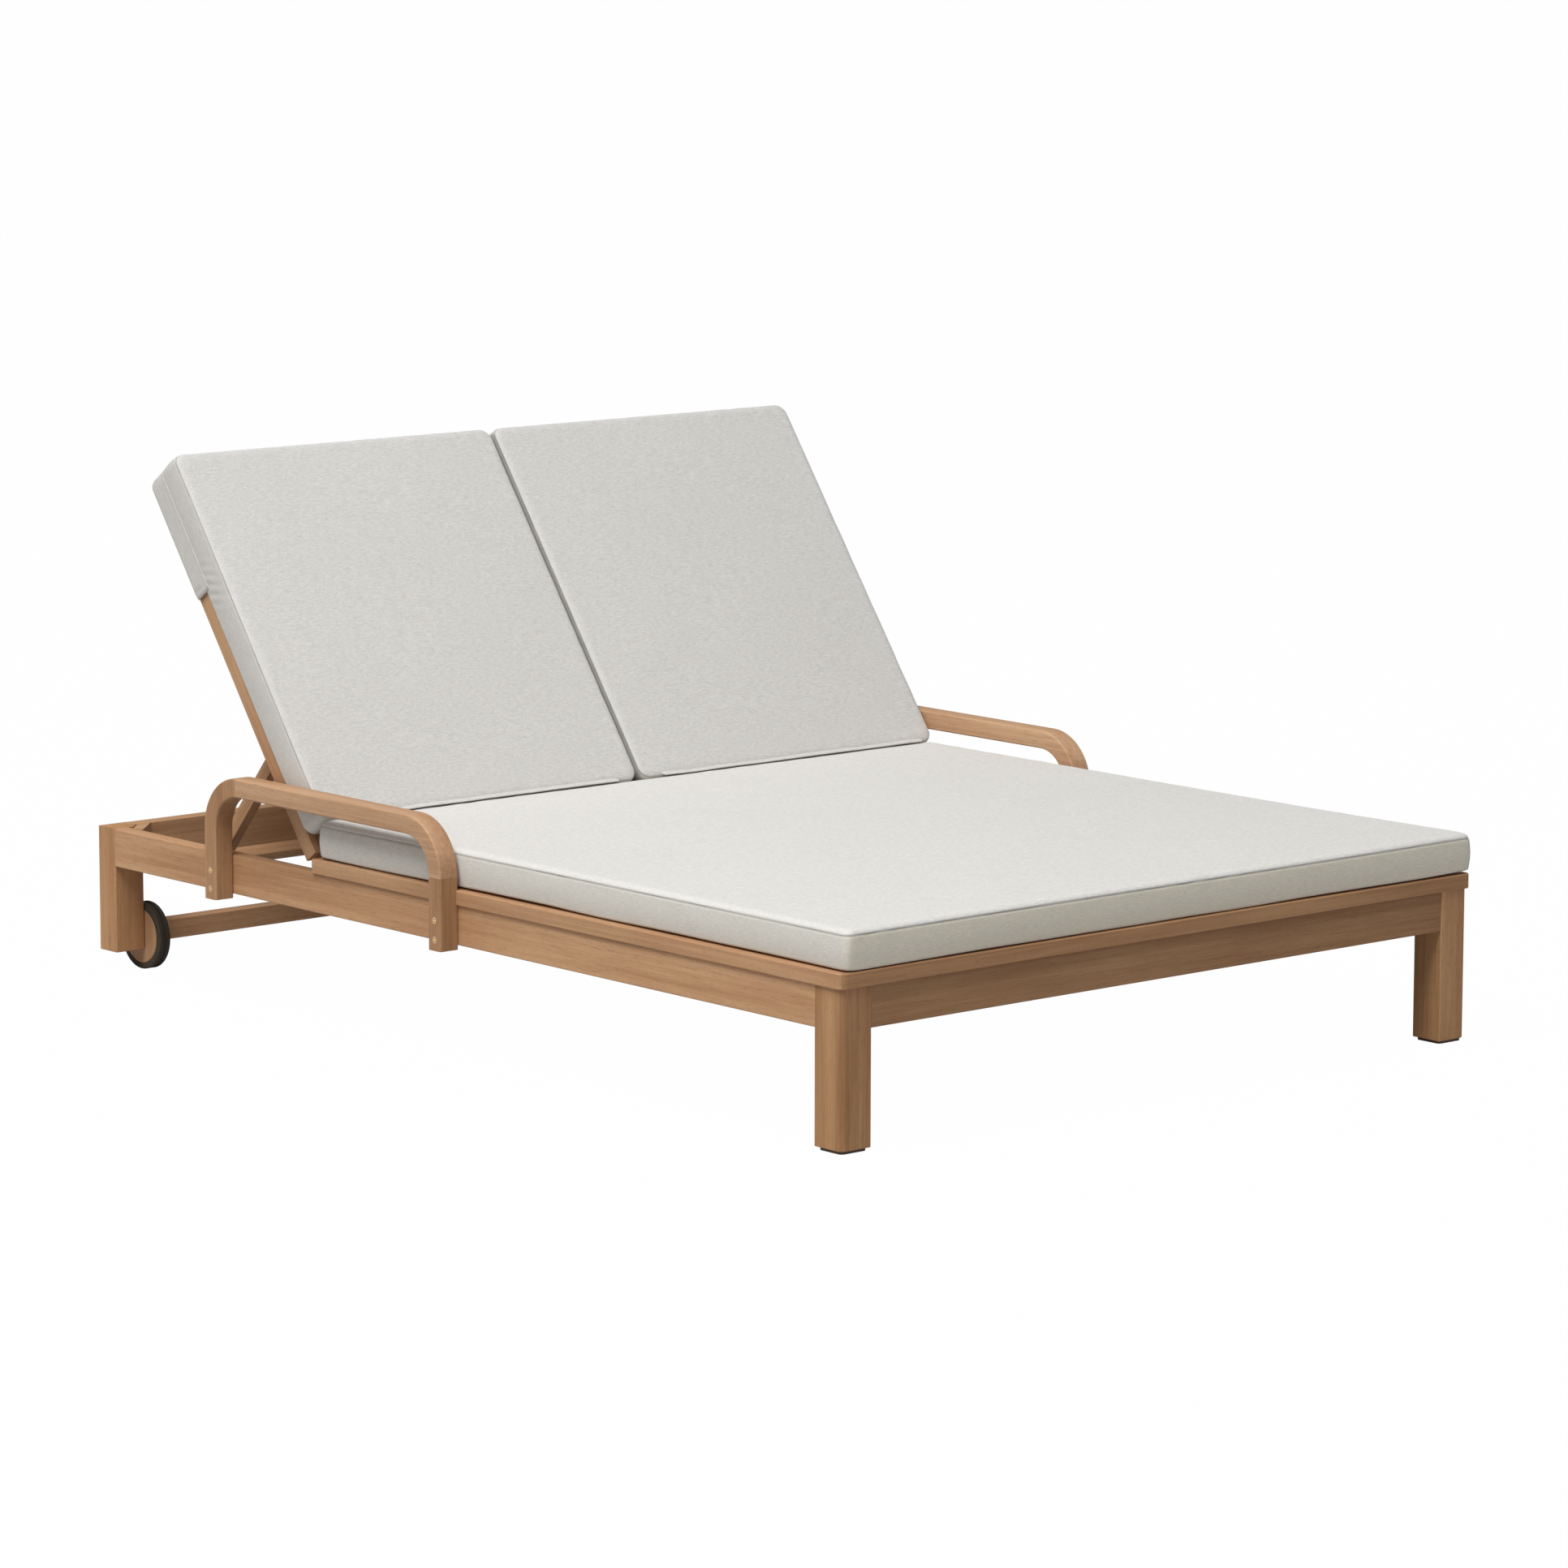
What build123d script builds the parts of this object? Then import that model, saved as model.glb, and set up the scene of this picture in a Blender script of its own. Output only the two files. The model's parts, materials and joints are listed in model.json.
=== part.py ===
from build123d import *
import math
import os

os.makedirs("parts", exist_ok=True)

# Double chaise lounger, in millimetres. X runs across the bed, Y from foot to head, Z up.
# The origin is on the ground, midway between the foot end and the backs of the wheels.

# Whole frame
frame_length = 2000.0
frame_width = 1394.0
seat_height = 285.0
cut_overrun = 5.0
fit_clearance = 0.05
soft_gap = 0.3
edge_round = 2.0

# Boards, rails and legs
cap_thickness = 25.0
cap_width = 52.0
cap_overhang = 5.0
cap_corner_radius = 14.0
rail_height = 67.5
rail_thickness = 30.0
apron_setback = 2.0
front_leg_side = 62.0
front_leg_corner_radius = 12.0
leg_inner_chamfer = 20.0
rear_leg_width = 59.0
rear_leg_depth = 51.0
rear_leg_ground_gap = 38.0
glide_thickness = 5.0
glide_inset = 4.0
center_rail_gap = 20.0

# Corner blocks and their hanger bolts
block_reach = 62.0
block_leg_gap = 3.0
block_height = 60.0
hanger_radius = 3.0
hanger_depth_in_leg = 30.0
hanger_rise_shares = (0.27, 0.73)
hanger_tip = 3.0
wing_hub_radius = 6.0
wing_nut_height = 6.0
wing_span = 26.0
wing_thickness = 2.5
wing_height = 12.0

# Dowels in the frame corners
dowel_radius = 5.0
dowel_depth = 25.0
dowel_rise_shares = (0.26, 0.74)

# Seat slats
slat_count = 13
slat_width = 70.0
slat_thickness = 18.0
slat_end_gap = 1.0
ledger_side = 30.0

# Arches of the arm rests
arm_top_height = 404.0
arm_width = 38.0
arm_depth = 33.0
arm_outer_radius = 95.0
arm_length = 664.0
arm_front_before_hinge = 400.0
arm_below_rail = 7.0
arm_edge_round = 3.5
arm_rear_joint = 92.0
arm_front_joint_drop = 97.0
arm_joint_bevel = 0.6
arm_bolt_rise = 11.5
arm_bolt_spacing = 32.5
arm_bolt_radius = 3.0
arm_bolt_head_radius = 6.0
arm_bolt_head_thickness = 4.0
arm_bolt_head_sink = 0.4
arm_bolt_key_radius = 2.6
arm_bolt_key_depth = 2.6
insert_radius = 5.5
insert_length = 20.0

# Wheels and axle
wheel_radius = 60.0
wheel_width = 24.0
wheel_from_head = 36.0
tyre_thickness = 10.0
tyre_groove_width = 6.0
tyre_groove_depth = 2.0
tyre_edge_round = 3.0
axle_radius = 5.0
axle_depth_in_leg = 35.0
axle_depth_in_beam = 40.0
axle_clearance = 0.06
bush_radius = 9.0
washer_radius = 12.0
washer_thickness = 2.0
wheel_side_gap = 0.5
axle_beam_height = 36.0
axle_beam_depth = 30.0
axle_beam_rise = 7.0

# Back rests
hinge_place_share = 0.681
rest_angle = 54.0
stile_width = 40.0
stile_depth = 30.0
back_frame_inset = 7.0
back_frame_center_gap = 36.0
back_frame_length = 745.0
back_rail_width = 50.0
back_slat_count = 8
back_slat_width = 62.0
back_slat_thickness = 9.0
back_slat_rebate = 10.0
back_slat_end_clearance = 0.5

# Butt hinges
hinge_gap = 4.0
hinge_pin_rise = 4.5
hinge_pin_radius = 2.0
hinge_barrel_radius = 4.0
hinge_leaf_thickness = 1.8
hinge_leaf_drop = 24.0
hinge_knuckle_length = 20.0
hinge_knuckle_count = 3
hinge_knuckle_gap = 0.3
hinge_leaf_relief = 0.3
hinge_place_shares = (0.2, 0.8)
hinge_screw_radius = 1.8
hinge_screw_length = 18.0
hinge_screw_drop = 14.0
hinge_screw_side = 20.0

# Folding struts and their racks
strut_width = 20.0
strut_depth = 24.0
strut_reach = 303.0
strut_pivot_from_hinge = 227.0
strut_pivot_depth = 22.0
strut_stile_gap = 2.0
strut_folded_angle = 0.0
strut_rest_angle = 103.4
strut_bar_height = 20.0
strut_bolt_radius = 4.0
strut_bolt_clearance = 0.06
strut_bolt_head_radius = 7.0
strut_bolt_head_thickness = 3.0
strut_bolt_head_gap = 0.5
strut_bolt_depth_in_stile = 32.0
rack_thickness = 30.0
rack_block_gap = 30.0
rack_stop_length = 24.0
rack_stop_rise = 14.0
rack_stop_gap = 1.0
rack_notch_count = 4
rack_notch_depth = 8.0
rack_notch_width = 26.0
rack_screw_radius = 2.5
rack_screw_length = 45.0

# Cushions
cushion_thickness = 57.0
cushion_side_bulge = 5.0
cushion_draw_in = 6.0
cushion_corner_radius = 10.0
seat_cushion_side_set = 2.0
seat_cushion_crown = 16.0
seat_cushion_front_set = 4.0
seat_cushion_hinge_gap = 10.0
back_cushion_start = 34.0
back_cushion_past_frame = 11.0
back_cushion_crown = 11.0
hood_length = 242.0
hood_wall = 1.5
hood_side_gap = 0.5
hood_back_wall = 2.0
hood_back_step = 38.0
crown_station_shares = (-0.5, -0.3, 0.0, 0.3, 0.5)
crown_height_shares = (0.12, 0.72, 1.0, 0.72, 0.12)

# Places worked out from the sizes above
wheel_past_head = wheel_radius - wheel_from_head
foot_y = -(frame_length + wheel_past_head) / 2
head_y = foot_y + frame_length
side_x = frame_width / 2
rail_top = seat_height - cap_thickness
rail_bottom = rail_top - rail_height
rail_inner_x = side_x - rail_thickness
front_leg_y = foot_y + cap_overhang
apron_y = front_leg_y + apron_setback
apron_inner_y = apron_y + rail_thickness
rear_leg_y = head_y - rear_leg_depth
rear_rail_inner_y = head_y - rail_thickness
center_inner_x = center_rail_gap / 2
center_outer_x = center_inner_x + rail_thickness
hinge_y = foot_y + frame_length * hinge_place_share
seat_end_y = hinge_y - hinge_gap / 2
back_face_z = rail_top + stile_depth
hinge_z = back_face_z + hinge_pin_rise
hinge_axis = Axis((0, hinge_y, hinge_z), (1, 0, 0))
cap_inner_x = side_x + cap_overhang - cap_width
rear_board_y = seat_end_y - cap_width
arm_front_y = hinge_y - arm_front_before_hinge
arm_rear_y = arm_front_y + arm_length
arm_bottom = rail_bottom - arm_below_rail
wheel_y = head_y - wheel_from_head
wheel_outer_x = side_x - rear_leg_width - washer_thickness - wheel_side_gap
wheel_inner_x = wheel_outer_x - wheel_width
beam_end_x = wheel_inner_x - wheel_side_gap - washer_thickness
back_outer_x = side_x - back_frame_inset
back_inner_x = back_frame_center_gap / 2
back_middle_x = (back_outer_x + back_inner_x) / 2
outer_stile_inner_x = back_outer_x - stile_width
inner_stile_inner_x = back_inner_x + stile_width
strut_outer_x = outer_stile_inner_x - strut_stile_gap
strut_inner_x = inner_stile_inner_x + strut_stile_gap
strut_pivot_y = hinge_y + strut_pivot_from_hinge
strut_pivot_z = back_face_z - strut_pivot_depth
seat_cushion_width = frame_width - 2 * seat_cushion_side_set
seat_cushion_length = hinge_y - seat_cushion_hinge_gap - foot_y - seat_cushion_front_set
back_cushion_width = back_outer_x - back_inner_x + 2 * (hood_wall + hood_side_gap)
back_cushion_end = back_frame_length + back_cushion_past_frame


def block(x0, x1, y0, y1, z0, z1):
    """A box between two corners, given in any order."""
    size = Box(abs(x1 - x0), abs(y1 - y0), abs(z1 - z0))
    return Pos((x0 + x1) / 2, (y0 + y1) / 2, (z0 + z1) / 2) * size


def eased(solid, axis, radius):
    """Round the edges of a board that run along one axis."""
    return fillet(solid.edges().filter_by(axis), radius)


def rod(start, direction, length, radius):
    """A cylinder from a point, along a direction."""
    plane = Plane(origin=start, z_dir=direction)
    return plane * Cylinder(radius, length, align=(Align.CENTER, Align.CENTER, Align.MIN))


def flipped(solid):
    """The same piece on the other side of the bed."""
    return mirror(solid, about=Plane.YZ)


def both(solids):
    """The pieces of the left side, with their twins on the right."""
    return solids + [flipped(solid) for solid in solids]


def raised(solid):
    """A piece of the flat back rest, turned up to the angle that it has at rest."""
    return solid.rotate(hinge_axis, rest_angle)


def save(name, solids):
    """Write one node: a single solid, or a group of separate ones."""
    pieces = solids if isinstance(solids, list) else [solids]
    shape = pieces[0] if len(pieces) == 1 else Compound(children=[Part() + piece for piece in pieces])
    export_step(shape, os.path.join("parts", name + ".step"))


def leg_corner_cut(inner_x, inner_y, toward_y):
    """Corner that is cut off a leg beside the rails, to make room for the corner block."""
    outline = make_face(Polyline(
        (inner_x, inner_y), (inner_x - leg_inner_chamfer, inner_y),
        (inner_x, inner_y - toward_y * leg_inner_chamfer), close=True))
    return Pos(0, 0, rail_bottom) * extrude(outline, rail_height)


def hanger_heights():
    return [rail_bottom + share * rail_height for share in hanger_rise_shares]


def dowel_heights():
    return [rail_bottom + share * rail_height for share in dowel_rise_shares]


def corner_frame(toward_y):
    """Where the faces of the rails meet at a left corner, and how deep its leg reaches past them."""
    if toward_y > 0:
        inner_y = apron_inner_y
        past_x = front_leg_side - rail_thickness
        past_y = front_leg_side - rail_thickness - apron_setback
    else:
        inner_y = rear_rail_inner_y
        past_x = rear_leg_width - rail_thickness
        past_y = rear_leg_depth - rail_thickness
    return inner_y, past_x, past_y


def block_back_reach(toward_y):
    """How far the back face of a corner block lies from the corner of the rails."""
    _, past_x, past_y = corner_frame(toward_y)
    return past_x + past_y - leg_inner_chamfer + block_leg_gap * math.sqrt(2)


def hanger_lines(toward_y, radius, start_reach, end_reach):
    """Rods at 45 degrees through the corner, between two distances from the corner of the rails."""
    inner_y, past_x, past_y = corner_frame(toward_y)
    direction = Vector(1, toward_y, 0)
    length = (end_reach - start_reach) / math.sqrt(2)
    skew = (past_x - past_y) / 2
    rods = []
    for height in hanger_heights():
        start = (-rail_inner_x + start_reach / 2 + skew, inner_y + toward_y * (start_reach / 2 - skew), height)
        rods.append(rod(start, direction, length, radius))
    return rods


def hanger_reaches(toward_y):
    """Where a hanger bolt starts in the leg and ends past the wing nut."""
    _, past_x, past_y = corner_frame(toward_y)
    face = past_x + past_y - leg_inner_chamfer
    start = face - hanger_depth_in_leg * math.sqrt(2)
    end = block_reach + (wing_nut_height + hanger_tip) * math.sqrt(2)
    return start, end


def side_dowels(radius):
    """Dowels between the left side rail and its two legs."""
    x = -(side_x - rail_thickness / 2)
    front_joint = front_leg_y + front_leg_side
    pieces = []
    for joint in (front_joint, rear_leg_y):
        for height in dowel_heights():
            pieces.append(rod((x, joint - dowel_depth, height), (0, 1, 0), 2 * dowel_depth, radius))
    return pieces


def end_dowels(radius):
    """Dowels between the left legs and the two rails that cross the bed."""
    pieces = []
    front_joint = (-side_x + front_leg_side, apron_y + rail_thickness / 2)
    rear_joint = (-side_x + rear_leg_width, head_y - rail_thickness / 2)
    for x, y in (front_joint, rear_joint):
        for height in dowel_heights():
            pieces.append(rod((x - dowel_depth, y, height), (1, 0, 0), 2 * dowel_depth, radius))
    return pieces


def make_front_leg():
    """Square post with a well rounded outer corner, under the corner of the border boards."""
    inner_x, inner_y = -side_x + front_leg_side, front_leg_y + front_leg_side
    leg = block(-side_x, inner_x, front_leg_y, inner_y, glide_thickness, rail_top)
    corner = leg.edges().filter_by(Axis.Z).sort_by_distance((-side_x, front_leg_y, rail_top))[0]
    leg = fillet(corner, front_leg_corner_radius)
    leg = fillet(leg.edges().filter_by(Axis.Z).sort_by(Axis.X)[-2:], edge_round)
    leg = chamfer(leg.faces().sort_by(Axis.Z)[0].edges(), edge_round / 2)
    leg -= leg_corner_cut(inner_x, inner_y, 1)
    holes = hanger_lines(1, hanger_radius + fit_clearance, *hanger_reaches(1))
    return leg - holes - side_dowels(dowel_radius + fit_clearance) - end_dowels(dowel_radius + fit_clearance)


def axle_rod(radius, start_x, end_x):
    return rod((-start_x, wheel_y, wheel_radius), (1, 0, 0), start_x - end_x, radius)


def make_rear_leg():
    """Shorter post, held off the ground, that carries the outer end of the axle."""
    inner_x = -side_x + rear_leg_width
    leg = block(-side_x, inner_x, rear_leg_y, head_y, rear_leg_ground_gap, rail_top)
    outer = leg.edges().filter_by(Axis.Z).sort_by(Axis.X)[:2]
    leg = fillet(outer, edge_round)
    leg = chamfer(leg.faces().sort_by(Axis.Z)[0].edges(), edge_round / 2)
    leg -= leg_corner_cut(inner_x, rear_leg_y, -1)
    holes = hanger_lines(-1, hanger_radius + fit_clearance, *hanger_reaches(-1))
    axle_hole = axle_rod(axle_radius + fit_clearance, side_x - rear_leg_width + axle_depth_in_leg, beam_end_x)
    dowels = side_dowels(dowel_radius + fit_clearance) + end_dowels(dowel_radius + fit_clearance)
    return leg - holes - dowels - axle_hole


def arm_bolt_places():
    """Y and Z of the four bolts that hold one arm rest."""
    low = rail_bottom + arm_bolt_rise
    places = []
    for y in (arm_front_y + arm_depth / 2, arm_rear_y - arm_depth / 2):
        for z in (low, low + arm_bolt_spacing):
            places.append((y, z))
    return places


def make_side_rail():
    """Long rail between the legs, with insert nuts for the arm rest."""
    rail = block(-side_x, -rail_inner_x, front_leg_y + front_leg_side, rear_leg_y, rail_bottom, rail_top)
    rail = eased(rail, Axis.Y, edge_round)
    rail -= side_dowels(dowel_radius + fit_clearance)
    for y, z in arm_bolt_places():
        rail -= rod((-side_x, y, z), (1, 0, 0), insert_length, insert_radius + fit_clearance)
    for screw in rack_screws(rack_screw_radius + fit_clearance)[:2]:
        rail -= screw
    return rail


def make_front_apron():
    rail = block(-side_x + front_leg_side, side_x - front_leg_side, apron_y, apron_inner_y, rail_bottom, rail_top)
    rail = eased(rail, Axis.X, edge_round)
    return rail - both(end_dowels(dowel_radius + fit_clearance))


def make_rear_rail():
    rail = block(-side_x + rear_leg_width, side_x - rear_leg_width, rear_rail_inner_y, head_y, rail_bottom, rail_top)
    rail = eased(rail, Axis.X, edge_round)
    return rail - both(end_dowels(dowel_radius + fit_clearance))


def make_center_rail():
    """One of the two lengthwise rails that carry the middle of the bed."""
    rail = block(-center_outer_x, -center_inner_x, apron_inner_y, rear_rail_inner_y, rail_bottom, rail_top)
    rail = eased(rail, Axis.Y, edge_round)
    for screw in rack_screws(rack_screw_radius + fit_clearance)[2:]:
        rail -= screw
    return rail


def make_seat_cross_rail():
    """Rail under the hinge line, between a side rail and the middle."""
    rail = block(-rail_inner_x, -center_outer_x, seat_end_y - rail_thickness, seat_end_y, rail_bottom, rail_top)
    return eased(rail, Axis.X, edge_round)


def make_corner_block(toward_y):
    """Diagonal brace between two rails, drawn to the leg by two hanger bolts."""
    inner_y, _, _ = corner_frame(toward_y)
    near = block_back_reach(toward_y)
    outline = make_face(Polyline(
        (-rail_inner_x + near, inner_y), (-rail_inner_x + block_reach, inner_y),
        (-rail_inner_x, inner_y + toward_y * block_reach), (-rail_inner_x, inner_y + toward_y * near), close=True))
    brace = Pos(0, 0, rail_top - block_height) * extrude(outline, block_height)
    return brace - hanger_lines(toward_y, hanger_radius + fit_clearance, *hanger_reaches(toward_y))


def make_hanger_bolts(toward_y):
    return hanger_lines(toward_y, hanger_radius, *hanger_reaches(toward_y))


def make_wing_nuts(toward_y):
    """Nuts with two wings each, on the face of the corner block."""
    inner_y, past_x, past_y = corner_frame(toward_y)
    skew = (past_x - past_y) / 2
    nuts = []
    for height in hanger_heights():
        face = (-rail_inner_x + block_reach / 2 + skew, inner_y + toward_y * (block_reach / 2 - skew), height)
        plane = Plane(origin=face, x_dir=(toward_y, -1, 0), z_dir=(1, toward_y, 0))
        hub = Cylinder(wing_hub_radius, wing_nut_height, align=(Align.CENTER, Align.CENTER, Align.MIN))
        wings = Box(wing_span, wing_thickness, wing_height, align=(Align.CENTER, Align.CENTER, Align.MIN))
        gap = Box(2 * hanger_radius, wing_thickness, wing_height, align=(Align.CENTER, Align.CENTER, Align.MIN))
        bore = Cylinder(hanger_radius + fit_clearance, wing_height, align=(Align.CENTER, Align.CENTER, Align.MIN))
        lift = Pos(0, 0, wing_nut_height / 2)
        nuts.append(plane * (hub + lift * wings - lift * gap - bore))
    return nuts


def make_glide():
    """Thin foot under a front leg."""
    half = front_leg_side - 2 * glide_inset
    foot = block(-side_x + glide_inset, -side_x + glide_inset + half,
                 front_leg_y + glide_inset, front_leg_y + glide_inset + half, 0, glide_thickness)
    return fillet(foot.edges().filter_by(Axis.Z), front_leg_corner_radius - glide_inset)


def arm_post_notches():
    """Notches that let the posts of the left arm rest pass the edge of the border board."""
    notches = []
    for y in (arm_front_y, arm_rear_y - arm_depth):
        notches.append(block(-side_x - cap_overhang, -side_x, y - fit_clearance, y + arm_depth + fit_clearance,
                             rail_top, seat_height))
    return notches


def border_boards():
    """The three mitred boards round the seat, cut from one rounded outline."""
    outer_x = side_x + cap_overhang
    outline = make_face(Polyline(
        (-outer_x, foot_y), (outer_x, foot_y), (outer_x, seat_end_y), (cap_inner_x, seat_end_y),
        (cap_inner_x, foot_y + cap_width), (-cap_inner_x, foot_y + cap_width), (-cap_inner_x, seat_end_y),
        (-outer_x, seat_end_y), close=True))
    corners = outline.vertices().sort_by(Axis.Y)[:2]
    outline = fillet(corners, cap_corner_radius)
    ring = Pos(0, 0, rail_top) * extrude(outline, cap_thickness)
    rims = ring.edges().filter_by(lambda edge: edge.center().Z != rail_top + cap_thickness / 2)
    outside = [edge for edge in rims if abs(edge.center().X) > side_x or edge.center().Y < foot_y + cap_overhang]
    ring = fillet(outside, edge_round)
    middle_y = foot_y + outer_x
    front = make_face(Polyline((-outer_x, foot_y), (outer_x, foot_y), (0, middle_y), close=True))
    front = Pos(0, 0, rail_top) * extrude(front, cap_thickness)
    left = make_face(Polyline((-outer_x, foot_y), (0, middle_y), (0, head_y), (-outer_x, head_y), close=True))
    left = Pos(0, 0, rail_top) * extrude(left, cap_thickness)
    return (ring & left) - arm_post_notches(), ring & front


def make_rear_board():
    """Board across the end of the seat, which takes the hinges."""
    board = block(-cap_inner_x, cap_inner_x, rear_board_y, seat_end_y, rail_top, seat_height)
    for screw in hinge_screws(seat_end_y, -1, hinge_screw_radius + fit_clearance):
        board -= screw
        board -= flipped(screw)
    return board


def make_seat_slats():
    """Slats across the bed, spaced evenly between the front board and the rear one."""
    first = foot_y + cap_width
    free = rear_board_y - first - slat_count * slat_width
    gap = free / (slat_count + 1)
    half = cap_inner_x - slat_end_gap
    slats = []
    for index in range(slat_count):
        y = first + gap + index * (slat_width + gap)
        slat = block(-half, half, y, y + slat_width, rail_top, rail_top + slat_thickness)
        slats.append(eased(slat, Axis.X, edge_round))
    return slats


def make_ledger():
    """Strip inside the side rail that carries the ends of the slats."""
    start = apron_inner_y + block_reach + edge_round
    end = seat_end_y - rail_thickness - edge_round
    return block(-rail_inner_x, -rail_inner_x + ledger_side, start, end, rail_top - ledger_side, rail_top)


def arm_arch():
    """The whole arch on the left side, before it is cut at its glue joints."""
    height = arm_top_height - arm_bottom
    plane = Plane(origin=(-side_x - arm_width, 0, 0), x_dir=(0, 1, 0), z_dir=(1, 0, 0))
    middle = (arm_front_y + arm_rear_y) / 2
    outer = Pos(middle, arm_bottom + height / 2) * Rectangle(arm_length, height)
    outer = fillet(outer.vertices().sort_by(Axis.Y)[-2:], arm_outer_radius)
    inner_height = height - arm_depth + cut_overrun
    inner_length = arm_length - 2 * arm_depth
    inner = Pos(middle, arm_bottom - cut_overrun + inner_height / 2) * Rectangle(inner_length, inner_height)
    inner = fillet(inner.vertices().sort_by(Axis.Y)[-2:], arm_outer_radius - arm_depth)
    arch = extrude(plane * (outer - inner), arm_width)
    middle_x = -side_x - arm_width / 2
    on_sides = [edge for edge in arch.edges() if abs(edge.center().X - middle_x) > arm_width / 2 - edge_round]
    rims = [edge for edge in on_sides if edge.center().Z > arm_bottom + edge_round]
    return fillet(rims, arm_edge_round)


def arm_bolt_holes():
    """Through holes and head seats for the bolts of the left arm rest."""
    holes = []
    outer_x = -side_x - arm_width
    seat_depth = arm_bolt_head_thickness + arm_bolt_head_sink
    for y, z in arm_bolt_places():
        holes.append(rod((outer_x, y, z), (1, 0, 0), arm_width, arm_bolt_radius + fit_clearance))
        holes.append(rod((outer_x, y, z), (1, 0, 0), seat_depth, arm_bolt_head_radius + fit_clearance))
    return holes


def arm_pieces():
    """Front post, long bar with its front bend, and rear post with its bend."""
    arch = arm_arch() - arm_bolt_holes()
    outer_x = -side_x - arm_width
    front_joint = arm_top_height - arm_front_joint_drop
    rear_joint = arm_rear_y - arm_rear_joint
    front_zone = block(outer_x, -side_x, arm_front_y, arm_front_y + arm_depth, arm_bottom, front_joint)
    rear_zone = block(outer_x, -side_x, rear_joint, arm_rear_y, arm_bottom, arm_top_height)
    front_post = arch & front_zone
    rear_post = arch & rear_zone
    bar = arch - front_zone - rear_zone
    front_post = chamfer(front_post.faces().sort_by(Axis.Z)[-1].edges(), arm_joint_bevel)
    rear_post = chamfer(rear_post.faces().sort_by(Axis.Y)[0].edges(), arm_joint_bevel)
    return front_post, bar, rear_post


def make_arm_bolts():
    """Socket head bolts through the posts into the rail."""
    bolts = []
    head_x = -side_x - arm_width + arm_bolt_head_sink
    for y, z in arm_bolt_places():
        head = rod((head_x, y, z), (1, 0, 0), arm_bolt_head_thickness, arm_bolt_head_radius)
        shank = rod((head_x, y, z), (1, 0, 0), arm_width + insert_length - arm_bolt_head_sink, arm_bolt_radius)
        key = Plane(origin=(head_x, y, z), z_dir=(1, 0, 0)) * extrude(
            RegularPolygon(arm_bolt_key_radius, 6), arm_bolt_key_depth)
        bolts.append(head + shank - key)
    return bolts


def make_arm_inserts():
    """Threaded sleeves in the rail for the arm bolts."""
    sleeves = []
    for y, z in arm_bolt_places():
        sleeve = rod((-side_x, y, z), (1, 0, 0), insert_length, insert_radius)
        sleeves.append(sleeve - rod((-side_x, y, z), (1, 0, 0), insert_length, arm_bolt_radius + fit_clearance))
    return sleeves


def make_wheel_disc():
    """Wooden disc of the left wheel, bored for its bush."""
    rim = wheel_radius - tyre_thickness
    disc = rod((-wheel_outer_x, wheel_y, wheel_radius), (1, 0, 0), wheel_width, rim)
    disc = chamfer(disc.edges().filter_by(GeomType.CIRCLE), edge_round)
    return disc - axle_rod(bush_radius + fit_clearance, wheel_outer_x, wheel_inner_x)


def make_tyre():
    """Rubber tyre with one groove round its tread."""
    tyre = rod((-wheel_outer_x, wheel_y, wheel_radius), (1, 0, 0), wheel_width, wheel_radius)
    tyre = fillet(tyre.edges().filter_by(GeomType.CIRCLE), tyre_edge_round)
    middle = wheel_outer_x - wheel_width / 2
    groove = axle_rod(wheel_radius, middle + tyre_groove_width / 2, middle - tyre_groove_width / 2)
    groove -= axle_rod(wheel_radius - tyre_groove_depth, middle + tyre_groove_width, middle - tyre_groove_width)
    return tyre - groove - axle_rod(wheel_radius - tyre_thickness, wheel_outer_x, wheel_inner_x)


def make_wheel_bush():
    bush = axle_rod(bush_radius, wheel_outer_x, wheel_inner_x)
    return bush - axle_rod(axle_radius + axle_clearance, wheel_outer_x, wheel_inner_x)


def make_axle():
    """Steel pin from the rear leg, through the wheel, into the axle beam."""
    return axle_rod(axle_radius, side_x - rear_leg_width + axle_depth_in_leg, beam_end_x - axle_depth_in_beam)


def make_axle_washers():
    """Washers on both sides of the wheel."""
    leg_x = side_x - rear_leg_width
    washers = []
    for start in (leg_x, beam_end_x + washer_thickness):
        washer = axle_rod(washer_radius, start, start - washer_thickness)
        washers.append(washer - axle_rod(axle_radius + fit_clearance, start, start - washer_thickness))
    return washers


def make_axle_beam():
    """Stretcher between the wheels."""
    low = wheel_radius + axle_beam_rise - axle_beam_height / 2
    beam = block(-beam_end_x, beam_end_x, wheel_y - axle_beam_depth / 2, wheel_y + axle_beam_depth / 2,
                 low, low + axle_beam_height)
    beam = eased(beam, Axis.X, edge_round)
    hole = axle_rod(axle_radius + fit_clearance, beam_end_x, beam_end_x - axle_depth_in_beam)
    return beam - hole - flipped(hole)


def hinge_centers():
    """X of the middle of each hinge of the left back rest."""
    span = outer_stile_inner_x - inner_stile_inner_x
    return [-(inner_stile_inner_x + share * span) for share in hinge_place_shares]


def hinge_screws(face_y, toward_y, radius):
    """Two screws for each leaf, into the board that carries it."""
    screws = []
    for x in hinge_centers():
        for side in (-hinge_screw_side, hinge_screw_side):
            start = (x + side, face_y, back_face_z - hinge_screw_drop)
            screws.append(rod(start, (0, toward_y, 0), hinge_screw_length, radius))
    return screws


def hinge_half_length():
    gaps = (hinge_knuckle_count - 1) * hinge_knuckle_gap
    return (hinge_knuckle_count * hinge_knuckle_length + gaps) / 2


def hinge_knuckles(fixed):
    """Start of each knuckle along the pin, counted from the middle of the hinge."""
    pitch = hinge_knuckle_length + hinge_knuckle_gap
    middle = -hinge_knuckle_length / 2
    return [middle - pitch, middle + pitch] if fixed else [middle]


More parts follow.
